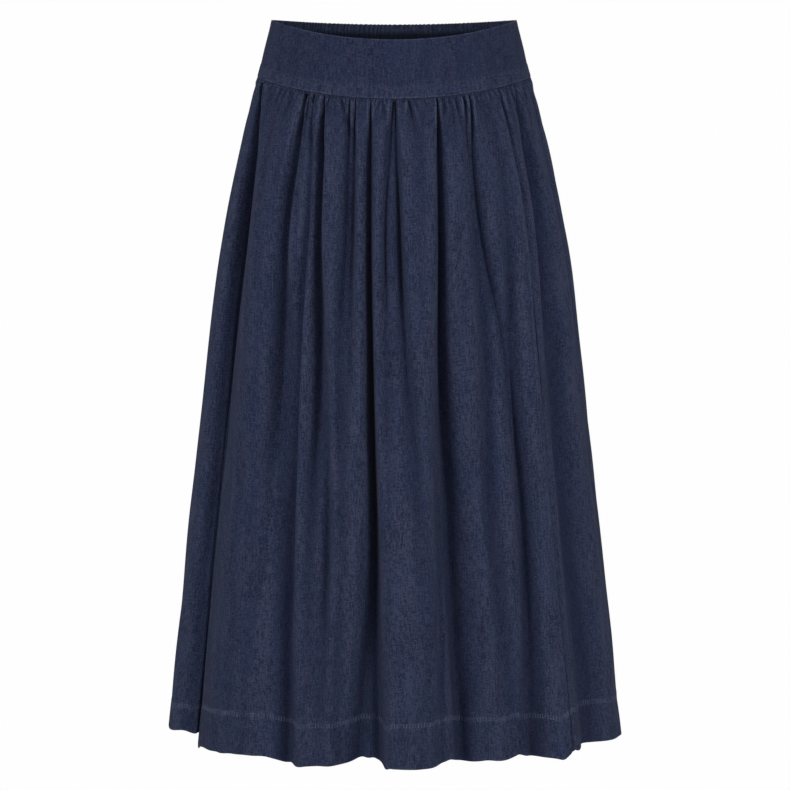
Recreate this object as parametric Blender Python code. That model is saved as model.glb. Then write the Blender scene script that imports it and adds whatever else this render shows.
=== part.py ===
"""Gathered denim midi skirt: front waistband, back waistband, front panel, back panel.

Metres, +Z up, the front faces -Y and +X is the right-hand side seen from the front.
The origin is the centre of the waist opening, where the wearer holds the skirt up.
Tables are in millimetres and degrees.  Angles run round the skirt from the middle of
the front (0) to the right (+90), the middle of the back (180) and the left (270 or -90).
"""
import math
from collections import namedtuple

import bmesh
import bpy
import numpy as np

MM = 0.001

# ---- sizes, mm ----------------------------------------------------------------------
WALL = 1.2              # one layer of denim with its finish
HEM_WALL = 2.1          # the turned-up hem is two layers
HEM_DEPTH = 44.0        # height of the turned-up hem
SEAM_GAP = 0.3          # clear gap where two pieces are sewn together
HEM_Z = -758.0          # level of the hem edge
WAIST_SIDE_Z = 10.0     # top edge at the sides of the waist
FRONT_DIP = 20.3        # how far the top edge dips at the middle of the front
BACK_DIP = 5.3          # and at the middle of the back
SEAM_SIDE_Z = -50.5     # waistband seam at the sides
SEAM_FRONT_DIP = 19.0   # how far the seam dips at the front
SEAM_BACK_DIP = 7.0     # and at the back
PUFF = 2.0              # gathered cloth stands this far out below the seam
PUFF_DROP = 7.0         # and gets there in this drop
PINCH = 0.10            # share of a fold's depth left at the seam itself
PINCH_DROP = 8.0        # drop over which a fold opens from the seam
BAND_JOIN = (-94.0, 94.0)   # waistband side seams, just behind the silhouettes

# ---- body of the skirt: an ellipse per height ---------------------------------------
Section = namedtuple("Section", "z half_width half_depth")
SECTIONS = (
    Section(10.0, 128.0, 94.5),
    Section(-20.0, 135.4, 101.0),
    Section(-55.0, 144.2, 108.6),
    Section(-85.0, 152.3, 114.2),
    Section(-120.0, 161.2, 118.8),
    Section(-180.0, 174.6, 124.4),
    Section(-245.0, 186.0, 128.5),
    Section(-340.0, 198.7, 133.0),
    Section(-440.0, 210.4, 137.5),
    Section(-570.0, 225.3, 143.4),
    Section(-670.0, 236.7, 147.4),
    Section(-760.0, 246.4, 150.0),
)

# ---- long folds ---------------------------------------------------------------------
# Angle, depth and half-width of each valley, and how far its bottom leans sideways, at
# five shares of the drop from seam to hem.
STATIONS = (0.0, 0.16, 0.39, 0.65, 1.0)
Fold = namedtuple("Fold", "name angle depth width lean")
FOLDS = (
    Fold("left_flank", (-72.5, -66.5, -63, -62.5, -62.5), (6, 14, 18, 19, 18),
         (9, 16, 24, 28, 32), (-6, -14, -18, -18, -16)),
    Fold("left_edge", (-69, -61.8, -57.4, -57.0, -56.6), (17, 21, 19, 16, 15),
         (8, 10, 11, 12, 13), (-13, -19, -20, -18, -16)),
    Fold("left_pair_a", (-38.4, -41.5, -39.3, -38, -39), (11, 20, 22, 13, 6),
         (5, 6.5, 10, 16, 22), (0, 0, 0, 0, 0)),
    Fold("left_hollow", (-37, -37, -36, -34.6, -34), (0, 7, 9, 7, 2),
         (5, 8, 9, 11, 14), (0, 0, 0, 0, 0)),
    Fold("left_pair_b", (-34, -32.3, -32.6, -31.6, -28.7), (4, 12, 18, 19, 20),
         (4, 6, 8, 9, 13), (0, 2, 4, 4, 2)),
    Fold("left_deep", (-29, -27.6, -24.3, -24.4, -25), (12, 19, 23, 16, 4),
         (4.5, 6, 9, 13, 15), (1, 1, 1, 0, 0)),
    Fold("left_low", (-24, -23, -21, -19.5, -19.2), (0, 0, 5, 12, 4),
         (4, 5, 6, 7, 10), (0, 0, 1, 3, 1)),
    Fold("centre_left", (-17.4, -16.9, -16.6, -14.6, -14.2), (7, 13, 9, 8, 6),
         (4.5, 6, 7.5, 8, 14), (0, 0, 0, 0, 0)),
    Fold("centre_left_b", (-15.2, -14.4, -13.4, -12.6, -12.4), (4, 13, 7, 1, 0),
         (3.5, 4.5, 6.5, 8, 10), (0, 1, 1, 0, 0)),
    Fold("centre_low", (-11.4, -11, -9, -6.4, -9.4), (0, 0, 0, 9, 28),
         (5, 6, 6, 8, 17), (0, 0, 0, 0, 0)),
    Fold("centre", (-9, -8.8, -7.4, -5.6, -3.6), (9, 19, 28, 25, 20),
         (4.5, 4.8, 4.6, 5.2, 10), (0, 1, 1, 1, 1)),
    Fold("centre_short", (-0.4, -2.8, -1.8, -1.4, 0.5), (9, 11, 9, 2, 0),
         (6, 4.5, 7, 10, 12), (0, 0, 0, 0, 0)),
    Fold("centre_right", (0.6, 1.4, 2.9, 6.8, 6), (8, 13, 13, 5, 0),
         (5.5, 4.5, 8, 11, 14), (0, 1, 3, 2, 0)),
    Fold("right_step", (13, 13, 13, 13.1, 12.2), (0, 0, 5, 15, 17),
         (4, 4, 5, 8, 9), (0, 0, 0, 0, 0)),
    Fold("right_deep", (17.2, 17, 16.3, 17.8, 18.8), (13, 20, 28, 31, 26),
         (4.5, 5.5, 8.5, 14, 17), (0, -2, -5, -6, -3)),
    Fold("right_soft", (23.5, 23, 21.5, 23.5, 25), (2, 2, 5, 8, 7),
         (4, 8, 11, 14, 20), (0, 0, 0, 0, 0)),
    Fold("right_broad", (28, 28.2, 30.6, 29.6, 32.5), (0, 7, 15, 15, 12),
         (5, 8, 14, 14, 18), (0, 0, 0, 0, 0)),
    Fold("right_slant", (32, 30.6, 35.8, 36, 34), (10, 13, 8, 1, 0),
         (4, 4.5, 6, 12, 14), (0, 0, 3, 0, 0)),
    Fold("right_low", (41, 41, 39.4, 39.5, 38.4), (2, 4, 13, 19, 25),
         (4, 6, 8, 10, 16), (0, 1, 3, 5, 7)),
    Fold("seam_groove", (47.4, 50.6, 49.8, 50.3, 52), (5, 4, 2, 1.5, 1),
         (3.5, 4.1, 4.9, 5.8, 7), (0, 0, 0, 0, 0)),
    Fold("right_side", (59, 61.5, 62, 62.5, 65.5), (7, 14, 13, 12, 16),
         (6, 9, 13.4, 18.4, 25), (-1, -3, -5, -8, -12)),
    Fold("right_turn", (77, 78, 80, 82, 83), (4, 3, 2, 1, 0),
         (5, 6.4, 8.5, 10.9, 14), (0, 0, 0, 0, 0)),
    Fold("back_a", (104, 106, 107, 108, 108), (8, 13, 17, 21, 26),
         (6, 8.1, 11.1, 14.5, 19), (1, 1.8, 3, 4.2, 6)),
    Fold("back_b", (121, 123, 122, 124, 126), (7, 10, 9, 11, 14),
         (5, 7.4, 10.9, 14.8, 20), (0, 0, 0, 0, 0)),
    Fold("back_c", (136, 137, 139, 140, 142), (12, 16, 20, 25, 32),
         (5, 6.6, 8.9, 11.5, 15), (0, -0.8, -2, -3.2, -5)),
    Fold("back_d", (151, 152, 150, 152, 153), (8, 10, 8, 5, 3),
         (5, 6.8, 9.3, 12.2, 16), (0, 0, 0, 0, 0)),
    Fold("back_e", (163, 162, 163, 164, 165), (9, 14, 18, 21, 27),
         (5, 6.8, 9.3, 12.2, 16), (0, 0.6, 1.6, 2.6, 4)),
    Fold("back_f", (180, 181, 180, 178, 179), (12, 17, 22, 27, 34),
         (5, 6.4, 8.5, 10.9, 14), (0, -0.8, -2, -3.2, -5)),
    Fold("back_g", (194, 195, 197, 199, 199), (8, 10, 10, 11, 17),
         (5, 7.7, 11.6, 16.1, 22), (0, 0, 0, 0, 0)),
    Fold("back_h", (208, 209, 207, 208, 210), (8, 12, 14, 14, 8),
         (5, 6.8, 9.3, 12.2, 16), (0, 0, 0, 0, 0)),
    Fold("back_i", (221, 222, 224, 223, 224), (11, 16, 19, 24, 31),
         (5, 6.8, 9.3, 12.2, 16), (0, 0.8, 2, 3.2, 5)),
    Fold("back_j", (238, 237, 236, 238, 240), (7, 9, 10, 12, 15),
         (5, 7.6, 11.2, 15.4, 21), (0, 0, 0, 0, 0)),
    Fold("back_k", (254, 253, 251, 250, 249), (8, 13, 17, 20, 25),
         (6, 8.1, 11.1, 14.5, 19), (-1, -1.8, -3, -4.2, -6)),
)

# ---- short gathers below the waistband seam -----------------------------------------
# Angle at the seam, depth, length of the pucker and half-width, mm.
Gather = namedtuple("Gather", "angle depth length width")
FRONT_GATHERS = (
    Gather(-62.4, 1.2, 12, 2.8),
    Gather(-57.6, 2.0, 22, 2.8), Gather(-54.5, 1.6, 16, 2.7), Gather(-50.6, 2.6, 24, 2.8),
    Gather(-47.2, 2.1, 18, 2.6), Gather(-43.6, 4.0, 42, 3.0), Gather(-36.6, 3.1, 34, 2.8),
    Gather(-31.6, 2.5, 20, 2.6), Gather(-26.4, 2.6, 20, 2.5), Gather(-22.6, 2.9, 26, 2.6),
    Gather(-20.2, 2.6, 22, 2.5), Gather(-14.7, 2.3, 22, 2.6), Gather(-12.2, 1.8, 14, 2.5),
    Gather(-6.0, 2.5, 22, 2.6), Gather(-3.2, 2.6, 18, 2.5), Gather(1.7, 2.8, 24, 2.5),
    Gather(5.9, 4.2, 46, 3.0), Gather(9.6, 1.6, 12, 2.7), Gather(12.6, 1.4, 10, 2.7),
    Gather(15.4, 2.6, 26, 2.5), Gather(20.8, 2.8, 22, 2.6), Gather(25.9, 4.0, 42, 2.9),
    Gather(28.6, 3.0, 40, 2.6), Gather(30.8, 2.6, 26, 2.5), Gather(36.8, 2.6, 18, 2.7),
    Gather(39.0, 1.9, 13, 2.5), Gather(43.6, 2.6, 36, 2.7),
)
# Behind the side seams the gathers repeat this short run of uneven steps.
Step = namedtuple("Step", "degrees depth length width")
BACK_STEPS = (
    Step(4.9, 2.6, 28, 2.9), Step(4.2, 3.2, 36, 2.8), Step(5.6, 2.0, 20, 3.0),
    Step(4.1, 2.8, 26, 2.7), Step(6.1, 3.4, 42, 3.0), Step(4.6, 2.3, 22, 2.7),
)
CLEAR_OF_FOLD = 2.6     # a gather nearer than this to a long fold is part of it, degrees

# ---- places where the hem rides up, mm, and their half-width in degrees ----------------
Rise = namedtuple("Rise", "angle height spread")
HEM_RISES = (
    Rise(-68.0, 9.0, 8.0), Rise(-8.4, 7.0, 2.4), Rise(14.8, 5.0, 2.4), Rise(34.0, 4.0, 2.4),
)

# ---- side seams of the panels, degrees at the five stations --------------------------
RIGHT_SEAM = (46.7, 49.9, 49.0, 49.5, 51.0)
LEFT_SEAM = (-69.2, -62.0, -57.8, -57.4, -57.2)

# ---- rows, mm below the waistband seam ------------------------------------------------
GATHER_ROWS = (0.0, 4.0, 10.0, 20.0, 36.0)
DRAPE_ROWS = (64.0, 112.0, 170.0, 240.0, 325.0, 425.0, 540.0)
COLUMNS_PER_GATHER = 4
MARK_CLEAR = 1.4        # a gather nearer than this to a fold has no columns of its own
SEAM_REACH = 2.4        # degrees each side of a seam that set the slant of its mitre
MITRE_LIMIT = 3.0       # longest mitre at a sharp crease, in half walls
BAND_ROWS = 3
BAND_STEP = 5.6         # degrees between the columns of the waistbands

Finish = namedtuple("Finish", "colour roughness")
DENIM = {
    "waistband_front": Finish((0.030, 0.040, 0.098), 0.86),
    "waistband_back": Finish((0.027, 0.035, 0.088), 0.88),
    "skirt_front": Finish((0.026, 0.035, 0.092), 0.86),
    "skirt_back": Finish((0.024, 0.032, 0.086), 0.87),
}


def smooth_table(x, xs, ys):
    """Cubic through a short table, flat beyond its ends; x may be an array."""
    xs = np.asarray(xs, float)
    ys = np.asarray(ys, float)
    x = np.clip(np.asarray(x, float), xs[0], xs[-1])
    slope = np.gradient(ys, xs)
    i = np.clip(np.searchsorted(xs, x, side="right") - 1, 0, len(xs) - 2)
    step = xs[i + 1] - xs[i]
    t = (x - xs[i]) / step
    rise = (1 + 2 * t) * (1 - t) ** 2 * ys[i] + t * t * (3 - 2 * t) * ys[i + 1]
    return rise + step * (t * (1 - t) ** 2 * slope[i] - t * t * (1 - t) * slope[i + 1])


def ease(x):
    """Smooth step from 0 at x <= 0 to 1 at x >= 1."""
    x = np.clip(x, 0.0, 1.0)
    return x * x * (3 - 2 * x)


def bump(x):
    """Round-bottomed valley of height 1 and half-width about 1."""
    return 1.0 / np.cosh(np.clip(1.6 * x, -30, 30))


def body(z):
    """Half width and half depth of the skirt at height z, mm."""
    levels = [s.z for s in reversed(SECTIONS)]
    wide = smooth_table(z, levels, [s.half_width for s in reversed(SECTIONS)])
    deep = smooth_table(z, levels, [s.half_depth for s in reversed(SECTIONS)])
    return wide, deep


def edge_height(angle, side_z, front_dip, back_dip):
    """Height of an edge that dips at the front and the back of the waist."""
    c = np.cos(np.radians(angle))
    return side_z - np.where(c > 0, front_dip, back_dip) * c * c


def top_edge(angle):
    return edge_height(angle, WAIST_SIDE_Z, FRONT_DIP, BACK_DIP)


def seam_line(angle):
    return edge_height(angle, SEAM_SIDE_Z, SEAM_FRONT_DIP, SEAM_BACK_DIP)


def hem_line(angle):
    """Height of the hem edge, a little higher where the cloth is pulled in."""
    line = np.full(np.shape(angle), HEM_Z)
    for rise in HEM_RISES:
        line = line + rise.height * bump(nearest(angle, rise.angle) / rise.spread)
    return line


def mm_per_degree(angle, wide, deep):
    """Length of one degree round the ellipse at this angle."""
    a = np.radians(angle)
    return np.hypot(wide * np.cos(a), deep * np.sin(a)) * math.pi / 180.0


def all_gathers():
    """The front gathers from their table and the back ones stepped round the rest."""
    rows = list(FRONT_GATHERS)
    angle = RIGHT_SEAM[0] + 2.4
    turn = LEFT_SEAM[0] + 360.0
    k = 0
    while angle < turn - 2.0:
        step = BACK_STEPS[k % len(BACK_STEPS)]
        if min(abs(angle - f.angle[0] % 360.0) for f in FOLDS) > CLEAR_OF_FOLD:
            rows.append(Gather(angle, step.depth, step.length, step.width))
        angle += step.degrees * (1.0 + 0.12 * math.sin(1.7 * k))
        k += 1
    return rows


GATHERS = all_gathers()


def lines_down():
    """Every line that runs from seam to hem: long folds and the two side seams."""
    lines = [f.angle for f in FOLDS]
    lines += [RIGHT_SEAM, LEFT_SEAM]
    lines.sort(key=lambda row: row[0])
    return lines


def lower_angle(top, share):
    """Angle a column has at this share of the drop, given its angle at the seam."""
    lines = lines_down()
    at_top = [row[0] for row in lines]
    here = [float(smooth_table(share, STATIONS, row)) for row in lines]
    at_top = [angle + turn for turn in (-360.0, 0.0, 360.0) for angle in at_top]
    here = [angle + turn for turn in (-360.0, 0.0, 360.0) for angle in here]
    return np.interp(top, at_top, here)


def nearest(angle, centre):
    """Signed difference of two angles the short way round, degrees."""
    return (angle - centre + 180.0) % 360.0 - 180.0


def skirt_mid(top, share, shift=0.0):
    """Middle of the cloth, mm, for columns' seam angles at one share of the drop.

    shift moves the points along the ring by that many mm, for the gap at a side seam.
    """
    angle = lower_angle(top, share)
    seam = seam_line(angle)
    wide, deep = body(seam + (HEM_Z - seam) * share)
    angle = angle + shift / mm_per_degree(angle, wide, deep)
    seam = seam_line(angle)
    drop = (seam - hem_line(angle)) * share
    z = seam - drop
    wide, deep = body(z)
    puff = PUFF * ease(drop / PUFF_DROP) * (1 - ease((drop - 30.0) / 90.0))
    inward = -puff
    sideways = np.zeros_like(inward)
    for fold in FOLDS:
        centre = smooth_table(share, STATIONS, fold.angle)
        depth = smooth_table(share, STATIONS, fold.depth)
        width = smooth_table(share, STATIONS, fold.width)
        lean = smooth_table(share, STATIONS, fold.lean)
        along = nearest(angle, centre) * mm_per_degree(centre, wide, deep)
        shape = bump(along / width)
        inward = inward + depth * shape
        sideways = sideways + lean * shape
    for gather in GATHERS:
        width = gather.width * (1 + 1.2 * drop / gather.length)
        depth = gather.depth * np.exp(-(drop / gather.length) ** 1.5)
        along = nearest(top, gather.angle) * mm_per_degree(gather.angle, wide, deep)
        inward = inward + depth * bump(along / width)
    grip = PINCH + (1 - PINCH) * ease(drop / PINCH_DROP)
    inward = inward * grip
    sideways = sideways * grip
    a = np.radians(angle)
    nx = np.sin(a) / wide
    ny = -np.cos(a) / deep
    length = np.hypot(nx, ny)
    nx = nx / length
    ny = ny / length
    x = wide * np.sin(a) - nx * inward - ny * sideways
    y = -deep * np.cos(a) - ny * inward + nx * sideways
    return np.stack([x, y, z], axis=-1)


def band_mid(angle, share, shift=0.0):
    """Middle of the waistband's cloth, mm: share 0 at its top edge, 1 at the seam."""
    wide, deep = body(top_edge(angle))
    angle = angle + shift / mm_per_degree(angle, wide, deep)
    top = top_edge(angle)
    z = top + (seam_line(angle) + SEAM_GAP - top) * share
    wide, deep = body(z)
    a = np.radians(angle)
    return np.stack([wide * np.sin(a), -deep * np.cos(a), z], axis=-1)


def mitred(line):
    """Sideways offset of a unit half wall at the inner points of a line, corners mitred."""
    run = np.diff(line[:, :2], axis=0)
    run = run / np.linalg.norm(run, axis=1, keepdims=True)
    side = np.stack([run[:, 1], -run[:, 0]], axis=1)
    middle = side[:-1] + side[1:]
    middle = middle / np.linalg.norm(middle, axis=1, keepdims=True)
    share = np.sum(middle * side[:-1], axis=1, keepdims=True)
    offset = middle / np.maximum(share, 1.0 / MITRE_LIMIT)
    return np.hstack([offset, np.zeros((len(offset), 1))])


def ring_points(surface, columns, share, wall):
    """Outer and inner points of one row, metres.

    Both pieces mitre their end from the same three points, so they meet face to face.
    """
    shift = np.zeros(len(columns))
    shift[0] = SEAM_GAP / 2
    shift[-1] = -SEAM_GAP / 2
    mid = surface(columns, share, shift)
    ends = []
    for end in (columns[0], columns[-1]):
        about = np.array([end - SEAM_REACH, end, end + SEAM_REACH])
        ends.append(mitred(surface(about, share, np.zeros(3))))
    half = np.vstack([ends[0], mitred(mid), ends[1]]) * wall / 2
    return (mid + half) * MM, (mid - half) * MM


def strip_faces(upper, lower):
    """Faces between two rows whose counts are equal or two to one."""
    faces = []
    if len(upper) == len(lower):
        for j in range(len(upper) - 1):
            faces.append((upper[j], lower[j], lower[j + 1], upper[j + 1]))
        return faces
    for j in range(len(lower) - 1):
        a = upper[2 * j]
        b = upper[2 * j + 1]
        c = upper[2 * j + 2]
        faces.append((a, lower[j], b))
        faces.append((b, lower[j], lower[j + 1]))
        faces.append((b, lower[j + 1], c))
    return faces


def sheet(name, rows):
    """One closed sheet of cloth from rows of (outer, inner) points, top row first."""
    mesh = bpy.data.meshes.new(name)
    bm = bmesh.new()
    outer = []
    inner = []
    for out_points, in_points in rows:
        outer.append([bm.verts.new(p) for p in out_points])
        inner.append([bm.verts.new(p) for p in in_points])
    for i in range(len(rows) - 1):
        for face in strip_faces(outer[i], outer[i + 1]):
            bm.faces.new(face)
        for face in strip_faces(inner[i], inner[i + 1]):
            bm.faces.new(tuple(reversed(face)))
    for j in range(len(outer[0]) - 1):
        bm.faces.new((outer[0][j], outer[0][j + 1], inner[0][j + 1], inner[0][j]))
    for j in range(len(outer[-1]) - 1):
        bm.faces.new((outer[-1][j + 1], outer[-1][j], inner[-1][j], inner[-1][j + 1]))
    for i in range(len(rows) - 1):
        bm.faces.new((outer[i][0], inner[i][0], inner[i + 1][0], outer[i + 1][0]))
        bm.faces.new((outer[i + 1][-1], inner[i + 1][-1], inner[i][-1], outer[i][-1]))
    bmesh.ops.triangulate(bm, faces=bm.faces)
    bmesh.ops.recalc_face_normals(bm, faces=bm.faces)
    bm.to_mesh(mesh)
    bm.free()
    part = bpy.data.objects.new(name, mesh)
    bpy.context.scene.collection.objects.link(part)
    return part


def finish(part):
    """Give a piece its own material and smooth shading that keeps its cut edges."""
    look = DENIM[part.name]
    material = bpy.data.materials.new(part.name + "_denim")
    material.use_nodes = True
    shader = material.node_tree.nodes["Principled BSDF"]
    shader.inputs["Base Color"].default_value = look.colour + (1.0,)
    shader.inputs["Roughness"].default_value = look.roughness
    material.diffuse_color = look.colour + (1.0,)
    part.data.materials.append(material)
    part.data.shade_smooth()
    part.data.set_sharp_from_angle(angle=math.radians(50))


def panel(name, start, end):
    """A gathered panel between two seam angles."""
    marks = [start, end]
    for angle in [f.angle[0] for f in FOLDS] + [g.angle for g in GATHERS]:
        place = start + (angle - start) % 360.0
        if place < end and min(abs(place - mark) for mark in marks) > MARK_CLEAR:
            marks.append(place)
    marks.sort()
    columns = []
    for a, b in zip(marks, marks[1:]):
        columns += [a + (b - a) * k / COLUMNS_PER_GATHER for k in range(COLUMNS_PER_GATHER)]
    columns = np.array(columns + [end])
    drop = SEAM_SIDE_Z - HEM_Z
    shares = [h / drop for h in GATHER_ROWS]
    coarse = [h / drop for h in DRAPE_ROWS]
    coarse += [1 - (HEM_DEPTH + 3.0) / drop, 1 - HEM_DEPTH / drop, 1.0]
    rows = []
    for share in shares + coarse:
        ring = columns if share in shares else columns[::2]
        wall = HEM_WALL if share in coarse[-2:] else WALL
        rows.append(ring_points(skirt_mid, ring, share, wall))
    finish(sheet(name, rows))


def waistband(name, start, end):
    """A plain band between two angles, from the top edge to the seam."""
    count = 2 * round((end - start) / BAND_STEP / 2) + 1
    columns = np.linspace(start, end, count)
    rows = []
    for k in range(BAND_ROWS + 1):
        rows.append(ring_points(band_mid, columns, k / BAND_ROWS, WALL))
    finish(sheet(name, rows))


def main():
    for old in list(bpy.data.objects):
        bpy.data.objects.remove(old, do_unlink=True)
    waistband("waistband_front", BAND_JOIN[0], BAND_JOIN[1])
    waistband("waistband_back", BAND_JOIN[1], BAND_JOIN[0] + 360.0)
    panel("skirt_front", LEFT_SEAM[0], RIGHT_SEAM[0])
    panel("skirt_back", RIGHT_SEAM[0], LEFT_SEAM[0] + 360.0)


main()
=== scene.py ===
"""Gathered denim midi skirt: waistbands, gathered panels, sewing, denim, studio, camera.

Metres, +Z up; the front faces -Y and +X is the right-hand side seen from the front.
Form tables are in millimetres and degrees round the skirt: 0 is the middle of the
front, +90 the right, 180 the middle of the back and -90 or 270 the left.
"""
import logging
import math
from dataclasses import dataclass, field
from enum import Enum
from functools import cached_property
from typing import Callable, NamedTuple, Sequence

import bpy
import numpy as np
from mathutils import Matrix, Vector


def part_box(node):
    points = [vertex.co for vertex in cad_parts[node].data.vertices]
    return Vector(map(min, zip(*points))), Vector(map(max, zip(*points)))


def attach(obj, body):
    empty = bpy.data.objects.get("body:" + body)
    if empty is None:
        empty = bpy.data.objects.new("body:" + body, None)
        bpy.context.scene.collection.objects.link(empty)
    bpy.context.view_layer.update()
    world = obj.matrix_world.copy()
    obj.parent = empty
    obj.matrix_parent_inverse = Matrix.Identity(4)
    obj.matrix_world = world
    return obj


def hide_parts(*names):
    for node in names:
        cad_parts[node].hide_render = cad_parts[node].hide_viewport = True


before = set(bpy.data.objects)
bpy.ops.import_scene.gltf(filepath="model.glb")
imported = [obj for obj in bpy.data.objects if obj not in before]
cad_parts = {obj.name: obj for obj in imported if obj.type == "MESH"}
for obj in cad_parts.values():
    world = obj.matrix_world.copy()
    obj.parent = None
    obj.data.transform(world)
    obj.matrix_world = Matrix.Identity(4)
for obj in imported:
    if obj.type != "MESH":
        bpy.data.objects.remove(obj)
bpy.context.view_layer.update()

LOG = logging.getLogger("denim_skirt")
MM = 0.001
FAINT = 0.003     # a share of a gather or crest too small to see
BODY = "root"

Colour = tuple[float, float, float]
Array = np.ndarray


# ---- tables of the form ---------------------------------------------------------------
class Section(NamedTuple):
    """Half width and half depth of the skirt's body at one height, mm."""

    z: float
    half_width: float
    half_depth: float


class Fold(NamedTuple):
    """A long valley at the five stations: its angle, depth, half-width and how far it leans."""

    name: str
    angle: tuple[float, ...]
    depth: tuple[float, ...]
    width: tuple[float, ...]
    lean: tuple[float, ...] = (0, 0, 0, 0, 0)


class Gather(NamedTuple):
    """A short pucker below the waistband seam, mm and degrees; slant is mm in 10 mm of drop."""

    angle: float
    depth: float
    length: float
    width: float
    slant: float


class Crest(NamedTuple):
    """A thin ridge of drawn-up cloth below the seam, mm and degrees; slant as a gather's."""

    angle: float
    height: float
    length: float
    slant: float


class Rise(NamedTuple):
    """A place where the hem rides up: mm, and its half-width in degrees."""

    angle: float
    height: float
    spread: float


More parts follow.
